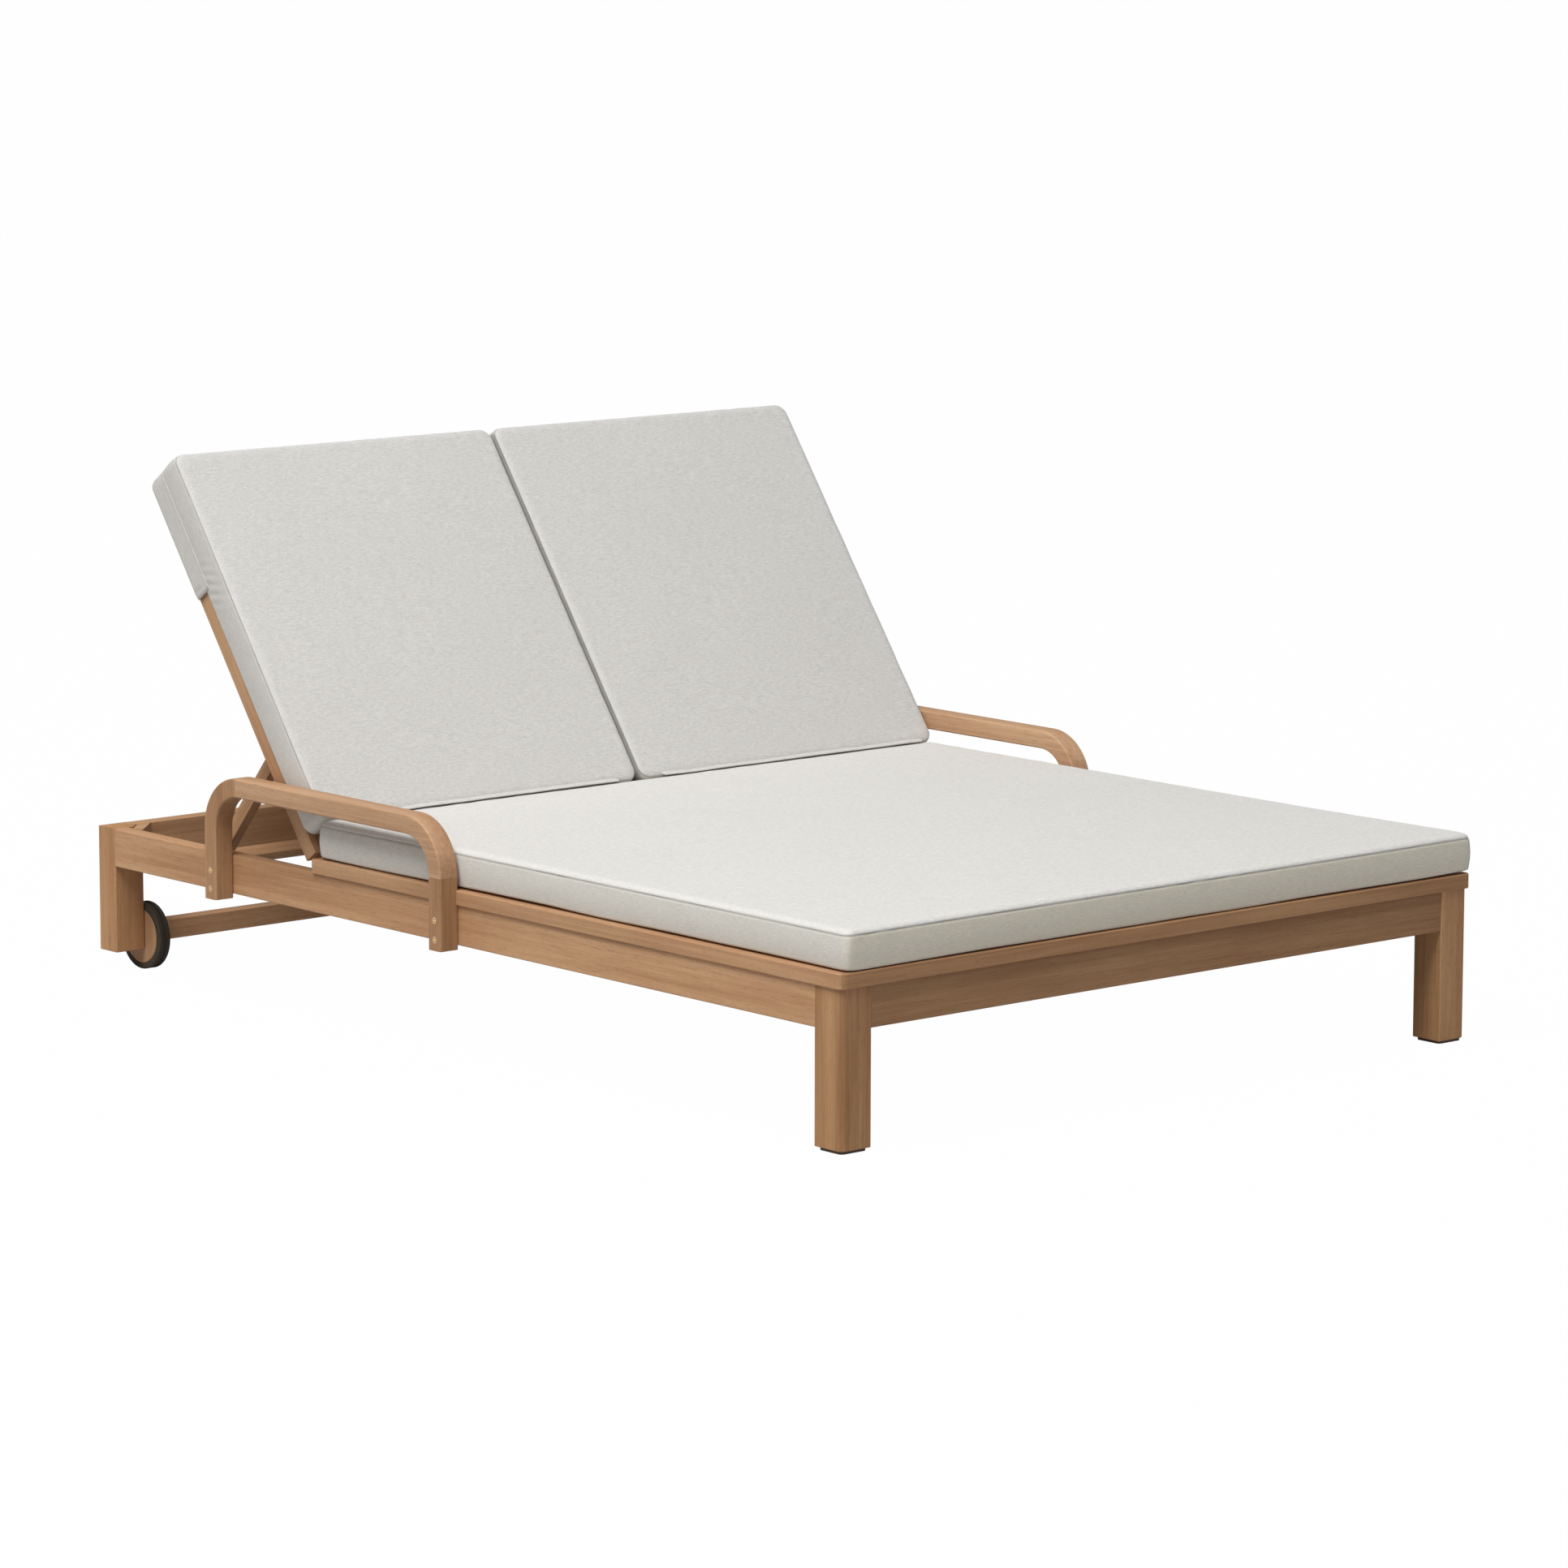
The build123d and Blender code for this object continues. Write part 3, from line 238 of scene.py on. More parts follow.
def build_grain_group():
    """Planed hardwood: long streaks, wider bands, and short dark pores, all along the group's own X axis.

    Each mask is noise stretched along X. Bands, streaks and fine fibres are added by their shares and mix the
    light colour into the dark one; blotches redden it and pores darken it.
    """
    band_share, streak_share, fine_share = 0.50, 0.30, 0.20
    red, redness = (0.50, 0.22, 0.10), 0.22
    pore_color, pore_strength = (0.10, 0.05, 0.025), 0.45
    smooth, rough = 0.52, 0.64
    fine_height = 0.4
    group, source, sink = new_group(
        "Wood grain",
        [("Vector", "NodeSocketVector", None), ("Light", "NodeSocketColor", (0.6, 0.4, 0.25, 1)),
         ("Dark", "NodeSocketColor", (0.35, 0.2, 0.1, 1))],
        [("Color", "NodeSocketColor"), ("Roughness", "NodeSocketFloat"), ("Height", "NodeSocketFloat")])
    vector = source.outputs["Vector"]
    bands = add_noise(group, add_mapping(group, vector, (1.1, 16, 16)), 1.0, 3.0, 0.55, 0.6)
    streaks = add_noise(group, add_mapping(group, vector, (3.0, 150, 150)), 1.0, 3.0, 0.6)
    fine = add_noise(group, add_mapping(group, vector, (14.0, 620, 620)), 1.0, 2.0, 0.6)
    pores = add_noise(group, add_mapping(group, vector, (60.0, 1500, 1500)), 1.0, 1.0, 0.5)
    blotches = add_noise(group, add_mapping(group, vector, (3.5, 9, 9)), 1.0, 2.0, 0.5)
    band_mask = add_range(group, bands, 0.32, 0.70)
    streak_mask = add_range(group, streaks, 0.34, 0.68)
    fine_mask = add_range(group, fine, 0.30, 0.72)
    pore_mask = add_range(group, pores, 0.62, 0.74)
    weight = add_math(group, "ADD", add_math(group, "MULTIPLY", band_mask, band_share),
                      add_math(group, "MULTIPLY", streak_mask, streak_share))
    weight = add_math(group, "ADD", weight, add_math(group, "MULTIPLY", fine_mask, fine_share))
    color = add_mix(group, weight, source.outputs["Light"], source.outputs["Dark"])
    warm = add_range(group, blotches, 0.3, 0.7, 0.0, redness)
    color = add_mix(group, warm, color, red, "MULTIPLY")
    color = add_mix(group, add_math(group, "MULTIPLY", pore_mask, pore_strength), color, pore_color)
    group.links.new(color, sink.inputs["Color"])
    group.links.new(add_range(group, weight, 0.0, 1.0, smooth, rough), sink.inputs["Roughness"])
    height = add_math(group, "SUBTRACT", add_math(group, "MULTIPLY", fine_mask, fine_height), pore_mask)
    group.links.new(height, sink.inputs["Height"])
    return group


def build_weave_group():
    """Heathered plain weave: slubs along the group's X axis, crossing threads and flecks of darker yarn.

    Each mask is noise stretched along or across X. Their shares add up to how dark the cloth is at a point,
    and wide clouds darken it a little more.
    """
    slub_share, thread_share, cross_share = 0.42, 0.34, 0.24
    cloud_strength = 0.05
    thread_height, cross_height = 0.6, 0.4
    group, source, sink = new_group(
        "Heather weave",
        [("Vector", "NodeSocketVector", None), ("Light", "NodeSocketColor", (0.8, 0.8, 0.76, 1)),
         ("Dark", "NodeSocketColor", (0.6, 0.6, 0.55, 1))],
        [("Color", "NodeSocketColor"), ("Height", "NodeSocketFloat")])
    vector = source.outputs["Vector"]
    slubs = add_noise(group, add_mapping(group, vector, (85, 560, 560)), 1.0, 3.0, 0.62)
    threads = add_noise(group, add_mapping(group, vector, (380, 1250, 1250)), 1.0, 2.0, 0.6)
    crossing = add_noise(group, add_mapping(group, vector, (950, 130, 900)), 1.0, 2.0, 0.6)
    clouds = add_noise(group, add_mapping(group, vector, (5, 9, 9)), 1.0, 2.0, 0.5)
    slub_mask = add_range(group, slubs, 0.36, 0.68)
    thread_mask = add_range(group, threads, 0.34, 0.70)
    cross_mask = add_range(group, crossing, 0.36, 0.72)
    weight = add_math(group, "ADD", add_math(group, "MULTIPLY", slub_mask, slub_share),
                      add_math(group, "MULTIPLY", thread_mask, thread_share))
    weight = add_math(group, "ADD", weight, add_math(group, "MULTIPLY", cross_mask, cross_share))
    color = add_mix(group, weight, source.outputs["Light"], source.outputs["Dark"])
    cloudy = add_range(group, clouds, 0.3, 0.7, 0.0, cloud_strength)
    color = add_mix(group, cloudy, color, source.outputs["Dark"])
    group.links.new(color, sink.inputs["Color"])
    height = add_math(group, "ADD", add_math(group, "MULTIPLY", thread_mask, thread_height),
                      add_math(group, "MULTIPLY", cross_mask, cross_height))
    group.links.new(height, sink.inputs["Height"])
    return group


def group_in(tree, name, build):
    """A group node in a material; the group itself is built only once."""
    node = tree.nodes.new("ShaderNodeGroup")
    node.node_tree = bpy.data.node_groups.get(name) or build()
    return node


def new_material(name, roughness, metallic=0.0):
    """A material with only a Principled shader, and that shader."""
    material = bpy.data.materials.new(name)
    material.use_nodes = True
    shader = material.node_tree.nodes["Principled BSDF"]
    shader.inputs["Roughness"].default_value = roughness
    shader.inputs["Metallic"].default_value = metallic
    return material, shader


def add_bump(tree, shader, height, strength, distance):
    """Relief from a height mask, on a Principled shader."""
    node = tree.nodes.new("ShaderNodeBump")
    node.inputs["Strength"].default_value = strength
    node.inputs["Distance"].default_value = distance
    tree.links.new(height, node.inputs["Height"])
    tree.links.new(node.outputs["Normal"], shader.inputs["Normal"])


def shaded(color, shade):
    """A colour made darker or lighter, with full alpha."""
    return (color[0] * shade, color[1] * shade, color[2] * shade, 1.0)


def wood_material(name, rotation, offset, shade=1.0, warmth=0.0):
    """Oiled wood whose grain runs along the turned X axis; the offset gives each board its own figure.

    The shade makes the board lighter or darker, and warmth takes some green and more blue out of it.
    """
    warm_red, warm_green, warm_blue = 0.04, 0.13, 0.27
    grain_strength, grain_depth = 0.25, 0.0002
    colours = bpy.context.scene.lounger_colours
    material, shader = new_material(name, 0.55)
    tree = material.node_tree
    place = tree.nodes.new("ShaderNodeTexCoord").outputs["Object"]
    place = add_mapping(tree, place, (1, 1, 1), offset, rotation)
    grain = group_in(tree, "Wood grain", build_grain_group)
    warm = (1.0 - warm_red * warmth, 1.0 - warm_green * warmth, 1.0 - warm_blue * warmth)
    grain.inputs["Light"].default_value = shaded([c * w for c, w in zip(colours.wood, warm)], shade)
    grain.inputs["Dark"].default_value = shaded([c * w for c, w in zip(colours.wood_dark, warm)], shade)
    tree.links.new(place, grain.inputs["Vector"])
    tree.links.new(grain.outputs["Color"], shader.inputs["Base Color"])
    tree.links.new(grain.outputs["Roughness"], shader.inputs["Roughness"])
    shader.inputs["Specular IOR Level"].default_value = 0.35
    add_bump(tree, shader, grain.outputs["Height"], grain_strength, grain_depth)
    return material


def metal_material(name, color, roughness):
    """Plated metal with fine turning marks and faint handling smudges."""
    smudge_shade, smoother, rougher = 0.72, 0.07, 0.1
    mark_strength, mark_depth = 0.2, 0.0001
    material, shader = new_material(name, roughness, 1.0)
    tree = material.node_tree
    place = tree.nodes.new("ShaderNodeTexCoord").outputs["Object"]
    smudge = add_noise(tree, place, 90.0, 3.0, 0.6)
    marks = add_noise(tree, add_mapping(tree, place, (1, 40, 40)), 60.0, 2.0, 0.5)
    smudged = tuple(c * smudge_shade for c in color[:3])
    tint = add_mix(tree, add_range(tree, smudge, 0.3, 0.8), color[:3], smudged)
    tree.links.new(tint, shader.inputs["Base Color"])
    worn = add_range(tree, smudge, 0.2, 0.8, roughness - smoother, roughness + rougher)
    tree.links.new(worn, shader.inputs["Roughness"])
    add_bump(tree, shader, marks, mark_strength, mark_depth)
    return material


def rubber_material(name, color, roughness):
    """Dull moulded rubber or nylon with a fine texture and dusty patches."""
    dust_strength, dust_gain, dust_lift, speckled = 0.35, 1.9, 0.02, 0.08
    speck_strength, speck_depth = 0.3, 0.0002
    material, shader = new_material(name, roughness)
    tree = material.node_tree
    place = tree.nodes.new("ShaderNodeTexCoord").outputs["Object"]
    dust = add_range(tree, add_noise(tree, place, 40.0, 4.0, 0.6), 0.45, 0.8, 0.0, dust_strength)
    speck = add_noise(tree, place, 900.0, 2.0, 0.6)
    dusty = tuple(c * dust_gain + dust_lift for c in color[:3])
    tint = add_mix(tree, dust, color[:3], dusty)
    tree.links.new(tint, shader.inputs["Base Color"])
    uneven = add_range(tree, speck, 0.3, 0.7, roughness - speckled, roughness + speckled)
    tree.links.new(uneven, shader.inputs["Roughness"])
    add_bump(tree, shader, speck, speck_strength, speck_depth)
    return material


def fabric_material(name, shade, painted_front_bounce, painted_side_shade):
    """Woven outdoor fabric, dressed by the piece's own attributes.

    Threads follow "weave". Where "seam" is 1 the cloth darkens: seam lines, partly painted shade in their
    grooves, and painted shade in the gap between the back cushions. The "side" map gives a painted warm
    bounced-light tint where it is 0.5, on the foot end, and a painted shade tint where it is 1, on the sides.
    """
    seam_shade, seam_and_shade_strength = 0.62, 0.8
    weave_strength, weave_depth = 0.35, 0.0005
    colours = bpy.context.scene.lounger_colours
    material, shader = new_material(name, 0.92)
    tree = material.node_tree
    place = tree.nodes.new("ShaderNodeAttribute")
    place.attribute_name = "weave"
    seam = tree.nodes.new("ShaderNodeAttribute")
    seam.attribute_name = "seam"
    side = tree.nodes.new("ShaderNodeAttribute")
    side.attribute_name = "side"
    weave = group_in(tree, "Heather weave", build_weave_group)
    weave.inputs["Light"].default_value = shaded(colours.fabric, shade)
    weave.inputs["Dark"].default_value = shaded(colours.fabric_dark, shade)
    tree.links.new(place.outputs["Vector"], weave.inputs["Vector"])
    # Seam lines, partly painted shade in their grooves, and painted shade between the back cushions take this
    # darker colour.
    seam_and_shade_color = tuple(c * shade * seam_shade for c in colours.fabric_dark)
    # Painted light: a warm bounced-light tint on the foot end and a shade tint on the sides.
    tint = add_mix(tree, add_range(tree, side.outputs["Fac"], 0.0, 0.5), (1.0, 1.0, 1.0), painted_front_bounce)
    tint = add_mix(tree, add_range(tree, side.outputs["Fac"], 0.5, 1.0), tint, painted_side_shade)
    color = add_mix(tree, 1.0, weave.outputs["Color"], tint, "MULTIPLY")
    color = add_mix(tree, add_math(tree, "MULTIPLY", seam.outputs["Fac"], seam_and_shade_strength), color, seam_and_shade_color)
    tree.links.new(color, shader.inputs["Base Color"])
    shader.inputs["Specular IOR Level"].default_value = 0.2
    shader.inputs["Sheen Weight"].default_value = 0.12
    shader.inputs["Sheen Roughness"].default_value = 0.5
    add_bump(tree, shader, weave.outputs["Height"], weave_strength, weave_depth)
    return material


def ripple(points, wavelength, seed, count=18):
    """A smooth random field of about -1 to 1.

    It is the mean of plane waves whose directions, lengths and phases are seeded draws, times a gain.
    """
    shortest, longest, gain = 0.7, 1.6, 2.2
    chance = np.random.default_rng(seed)
    direction = chance.normal(size=(count, 3))
    direction /= np.linalg.norm(direction, axis=1)[:, None]
    number = 2 * math.pi / (wavelength * chance.uniform(shortest, longest, count))
    phase = chance.uniform(0, 2 * math.pi, count)
    return np.sin(points @ (direction * number[:, None]).T + phase).mean(axis=1) * gain


def rounded_outline(half_x, half_y, radius, count):
    """Points round a rectangle with round corners, counter-clockwise, evenly spread, with unit normals."""
    straight_x = 2 * (half_x - radius)
    straight_y = 2 * (half_y - radius)
    arc = math.pi * radius / 2
    lengths = np.array([straight_x, arc, straight_y, arc, straight_x, arc, straight_y, arc])
    ends = np.concatenate([[0], np.cumsum(lengths)])
    place = np.linspace(0, ends[-1], count, endpoint=False)
    part = np.searchsorted(ends, place, side="right") - 1
    along = (place - ends[part]) / lengths[part]
    quarter = part // 2
    turning = part % 2 == 1
    angle = -math.pi / 2 + quarter * math.pi / 2 + np.where(turning, along * math.pi / 2, 0)
    normal = np.stack([np.cos(angle), np.sin(angle)], axis=1)
    starts = np.array([[-1, -1], [1, -1], [1, 1], [-1, 1]]) * [half_x - radius, half_y - radius]
    finishes = np.roll(starts, -1, axis=0)
    share = np.where(turning, 1.0, along)[:, None]
    core = starts[quarter] * (1 - share) + finishes[quarter] * share
    return core + normal * radius, normal, place


def add_cloth_maps(mesh, weave, seam, side):
    """Store where the threads run, where the seams are, and how much each point belongs to a side."""
    mesh.attributes.new("weave", "FLOAT_VECTOR", "POINT").data.foreach_set("vector", weave.ravel())
    mesh.attributes.new("seam", "FLOAT", "POINT").data.foreach_set("value", seam.ravel())
    mesh.attributes.new("side", "FLOAT", "POINT").data.foreach_set("value", side.ravel())


def with_end_points(values):
    """Values over rings, flattened, with the means of the first and the last ring added."""
    flat = values.reshape(values.shape[0] * values.shape[1], -1)
    return np.vstack([flat, values[0].mean(axis=0), values[-1].mean(axis=0)])


def closed_mesh(name, rings, weave, seam, side):
    """A closed skin over rings of equal count; the first and last ring close onto their mean point."""
    ring_count, around, _ = rings.shape
    column = np.arange(around)
    following = (column + 1) % around
    row = np.arange(ring_count - 1)[:, None] * around
    above = row + around
    quads = np.stack([row + column, row + following, above + following, above + column], axis=-1)
    first = ring_count * around
    top = (ring_count - 1) * around
    low_fan = np.stack([np.full(around, first), following, column], axis=-1)
    high_fan = np.stack([np.full(around, first + 1), top + column, top + following], axis=-1)
    faces = quads.reshape(-1, 4).tolist() + low_fan.tolist() + high_fan.tolist()
    mesh = bpy.data.meshes.new(name)
    mesh.from_pydata(with_end_points(rings).tolist(), [], faces)
    mesh.polygons.foreach_set("use_smooth", [True] * len(mesh.polygons))
    add_cloth_maps(mesh, with_end_points(weave), with_end_points(seam), with_end_points(side))
    mesh.update()
    piece = bpy.data.objects.new(name, mesh)
    bpy.context.scene.collection.objects.link(piece)
    return piece


def boxing_bulge(height, sizes):
    """How far a cushion's side stands out at a height: half a sine wave between its two seams."""
    share = np.clip((height - sizes.bottom_round) / (sizes.side_height - sizes.bottom_round), 0, 1)
    return sizes.side_bow * np.sin(math.pi * share)


def side_pleats(along, height, opening, sizes, seed):
    """Small slanting folds of the boxing beside a hood's opening: a sine wave that fades out both ways."""
    spacing, reach, middle_height, tall = 0.0165, 0.045, 0.020, 0.024
    slant_along, slant_up = 0.86, 0.50
    slant = along * slant_along + height * slant_up
    near = np.exp(-((along - opening) / reach) ** 2) * np.exp(-((height - middle_height) / tall) ** 2)
    return sizes.pleat * near * np.sin(2 * math.pi * slant / spacing + seed)


def cushion_rings(half_x, half_y, crown, draw_in, corner, sizes, seed, opening=None):
    """Rings of a box cushion that lies on the XY plane, centred, with its cloth maps.

    The outline is scaled inward ring by ring. Below it is flat, the side bows out and ends in a seam groove,
    and the top rises from the seam as a quarter ellipse, then to the middle as a parabola in each direction.
    Each side pulls in halfway between its corners as a parabola. The map "side" is 1 on the long sides and
    falls to 0.5 on the foot end; it places painted shade on the sides and painted warm bounced light on the
    foot end.
    """
    flat_rings, turn_rings, side_rings, edge_rings, top_rings = 16, 7, 21, 10, 40
    groove_width, line_width, line_reach = 0.0016, 0.0009, 0.003
    fold_length, fold_down, fold_in = 0.045, 0.02, 0.05
    swell_length, swell_height, swell_in = 0.32, 0.0012, 0.08
    outline, normal, place = rounded_outline(half_x, half_y, corner, sizes.around)
    mean_half = (half_x + half_y) / 2
    thick = sizes.side_height
    bottom_round = sizes.bottom_round
    flat = mean_half - (mean_half - bottom_round) * np.linspace(0, 1, flat_rings) ** 0.8
    turn = np.linspace(0, 1, turn_rings + 1)[1:] * math.pi / 2
    turn_inset = bottom_round * (1 - np.sin(turn))
    turn_rise = bottom_round * (1 - np.cos(turn))
    side = np.linspace(0, 1, side_rings + 1)[1:]
    side_rise = bottom_round + (thick - bottom_round) * side
    groove = sizes.seam_depth * np.exp(-((side_rise - thick) / groove_width) ** 2)
    side_inset = groove - boxing_bulge(side_rise, sizes)
    roll = np.linspace(0, 1, edge_rings + 1)[1:] * math.pi / 2
    edge_reach = sizes.roll_width * (1 - np.cos(roll))
    inner_reach = np.geomspace(sizes.roll_width * 1.2, mean_half * 0.98, top_rings)
    edge_rise = np.concatenate([np.sin(roll), np.ones(top_rings)])
    top_rise = thick + crown * sizes.edge_roll_share * edge_rise
    top_inset = sizes.seam_depth * 0.6 + np.concatenate([edge_reach, inner_reach])
    inset = np.concatenate([flat, turn_inset, side_inset, top_inset])
    rise = np.concatenate([np.zeros(flat_rings), turn_rise, side_rise, top_rise])
    on_top = (np.arange(len(rise)) >= flat_rings + turn_rings + side_rings)[:, None]
    on_side = (rise > bottom_round * 0.5)[:, None] & ~on_top
    rings = np.empty((len(inset), sizes.around, 3))
    rings[:, :, :2] = outline[None] * (1 - inset / mean_half)[:, None, None]
    shape_x = 1 - (rings[:, :, 0] / half_x) ** 2
    shape_y = 1 - (rings[:, :, 1] / half_y) ** 2
    middle = crown * (1 - sizes.edge_roll_share) * np.clip(shape_x, 0, 1) * np.clip(shape_y, 0, 1)
    rings[:, :, 2] = rise[:, None] + on_top * middle
    weave = rings.copy()
    weave[:, :, 0] = np.where(on_side, place[None], weave[:, :, 0])
    weave[:, :, 1] = np.where(on_side, rings[:, :, 2], weave[:, :, 1])
    from_seam = np.abs(rise - thick)
    # The dark seam line is partly painted shade in the seam's groove.
    at_seam = np.exp(-(from_seam / line_width) ** 2) * (inset < line_reach)
    seam = np.repeat(at_seam[:, None], sizes.around, axis=1)
    rings[:, :, 0] *= 1 - draw_in / half_x * (1 - (rings[:, :, 1] / half_y) ** 2)
    rings[:, :, 1] *= 1 - draw_in / half_y * (1 - (rings[:, :, 0] / half_x) ** 2)
    points = rings.reshape(-1, 3)
    near_seam = np.exp(-from_seam / fold_down)[:, None] * np.exp(-np.abs(inset) / fold_in)[:, None]
    fold = ripple(points, fold_length, seed).reshape(seam.shape) * near_seam * sizes.pucker
    swell = ripple(points, swell_length, seed + 1).reshape(seam.shape) * swell_height
    swell *= np.clip(inset / swell_in, 0, 1)[:, None]
    rings[:, :, 2] += on_top * (fold + swell)
    if opening is not None:
        beside = np.abs(normal[:, 0])[None] > 0.9
        fold = fold + beside * side_pleats(rings[:, :, 1], rings[:, :, 2], opening, sizes, seed)
    rings[:, :, :2] += normal[None] * (fold * ~on_top)[:, :, None]
    # The side map places painted shade on the sides and painted warm bounced light on the foot end.
    painted_light_place = 1 - 0.5 * np.clip(-normal[:, 1], 0, 1)
    return rings, weave, seam, on_side * painted_light_place[None]


def settle(rings, half_x, half_y, sizes, seed):
    """Lay the seat cushion down by hand: its foot slides right, one corner lifts, its lower edge wavers.

    The slide grows evenly from the head to the foot, and more on the right side. The lift fades as a bell
    curve from the right foot corner. The waver is a random field, with a steady part along the left side,
    and both fade with the height and with the way in from the edge.
    """
    lift_reach = 0.22
    waver_length, waver_height, fade, left_share = 0.26, 0.0040, 0.02, 0.5
    right_share, foot_share = 0.5, 0.3
    across, along, height = rings[:, :, 0], rings[:, :, 1], rings[:, :, 2]
    toward_foot = (half_y - along) / (2 * half_y)
    toward_right = np.clip(across / half_x, 0, 1)
    corner_away = np.hypot(across - half_x, along + half_y)
    from_edge = np.minimum(half_x - np.abs(across), half_y - np.abs(along))
    flat = (rings * [1, 1, 0]).reshape(-1, 3)
    low = np.exp(-height / fade)
    waver = 0.5 + 0.5 * ripple(flat, waver_length, seed).reshape(toward_foot.shape)
    waver *= low * np.exp(-np.clip(from_edge, 0, None) / fade)
    waver += left_share * (across < 0) * low * np.exp(-(across + half_x) / fade)
    height += sizes.corner_lift * np.exp(-(corner_away / lift_reach) ** 2)
    height += waver_height * np.clip(waver, 0, 1)
    across += sizes.seat_drift * (1 + right_share * toward_right) * toward_foot
    along -= foot_share * sizes.seat_drift * toward_foot


def skin_mesh(name, grid, weave, seam, thickness):
    """A sheet over a grid of points, thickened inwards; each quad joins four neighbours of the grid."""
    rows, columns, _ = grid.shape
    corner = (np.arange(rows - 1)[:, None] * columns + np.arange(columns - 1)).reshape(-1)
    faces = np.stack([corner, corner + 1, corner + columns + 1, corner + columns], axis=1)
    mesh = bpy.data.meshes.new(name)
    mesh.from_pydata(grid.reshape(-1, 3).tolist(), [], faces.tolist())
    mesh.polygons.foreach_set("use_smooth", [True] * len(mesh.polygons))
    add_cloth_maps(mesh, weave, seam, np.ones(seam.shape))
    mesh.update()
    piece = bpy.data.objects.new(name, mesh)
    bpy.context.scene.collection.objects.link(piece)
    wall = piece.modifiers.new("wall", "SOLIDIFY")
    wall.thickness = thickness
    wall.offset = -1.0
    return piece


def hood_surface(half_x, half_y, opening, depth, sizes, seed):
    """The pocket that continues a back cushion's boxing round the head end of its frame, as one bent sheet.

    Its plan is the cushion's outline from the opening, round the head end and back to the opening. The plan
    starts a little inside the boxing, is carried down to the depth of the frame, turns inwards by a quarter
    arc, and then shrinks towards the middle of the opening, which closes the back. The back wall starts
    further up than the sides, which leaves the folded strut its room, and it dips a little between the
    frame's boards.
    """
    wall_rows, bend_rows, back_rows = 50, 8, 45
    outline_points, kept_step, inside = 1400, 4, 0.0005
    frame_side, ease, slack_length, slack_height = 0.045, 0.04, 0.13, 0.0012
    hem_up, hem_width, hem_top, edge_width, line_strength = 0.016, 0.0010, -0.004, 0.0012, 0.6
    radius = sizes.hood_corner
    outline, normal, _ = rounded_outline(half_x, half_y, sizes.back_corner, outline_points)
    kept = np.flatnonzero(outline[:, 1] >= opening)[::kept_step]
    plan, away = outline[kept], normal[kept]
    plan[[0, -1], 1] = opening
    fall = np.linspace(sizes.hood_tuck, radius - depth, wall_rows)
    bend = np.linspace(0, math.pi / 2, bend_rows + 1)[1:]
    bend_fall = radius - depth - radius * np.sin(bend)
    shrink = np.linspace(1, 0.02, back_rows + 1)[1:, None]
    height = np.concatenate([fall, bend_fall, np.full(back_rows, -depth)])[:, None]
    inset = np.concatenate([np.zeros(wall_rows), radius * (1 - np.cos(bend)), np.full(back_rows, radius)])
    back_share = np.concatenate([np.zeros(wall_rows), bend / bend[-1], np.ones(back_rows)])[:, None]
    from_opening = (plan[:, 1] - opening)[None]
    out = boxing_bulge(height, sizes) - inside * np.clip(height / sizes.hood_tuck, 0, 1) - inset[:, None]
    out = out + side_pleats(from_opening + opening, height, opening, sizes, seed)
    grid = np.empty((len(height), len(kept), 3))
    grid[:, :, :2] = plan[None] + away[None] * out[:, :, None]
    grid[:, :, 1] += sizes.hood_step * back_share * (1 - from_opening / (half_y - opening))
    back = grid[wall_rows + bend_rows:]
    middle = opening + sizes.hood_step
    back[:, :, 0] *= shrink
    back[:, :, 1] = middle + (back[:, :, 1] - middle) * shrink
    grid[:, :, 2] = height
    free_x = np.clip((half_x - frame_side - np.abs(back[:, :, 0])) / ease, 0, 1)
    free_y = np.clip((half_y - frame_side - back[:, :, 1]) / ease, 0, 1)
    slack = ripple(back.reshape(-1, 3), slack_length, seed).reshape(back.shape[:2])
    back[:, :, 2] += slack_height * (1 + slack) * free_x * free_y
    at_head = np.abs(away[None, :, 1]) > 0.7
    weave = grid.copy()
    walls = weave[:wall_rows]
    walls[:, :, 0] = np.where(at_head, plan[None, :, 0], plan[None, :, 1])
    walls[:, :, 1] = height[:wall_rows]
    on_wall = back_share < 1
    hem = np.exp(-((from_opening - hem_up) / hem_width) ** 2) * (height < hem_top) * on_wall
    edge = np.exp(-((height - radius * 0.3 + depth) / edge_width) ** 2) * on_wall
    return grid, weave, np.clip(hem + edge, 0, 1) * line_strength


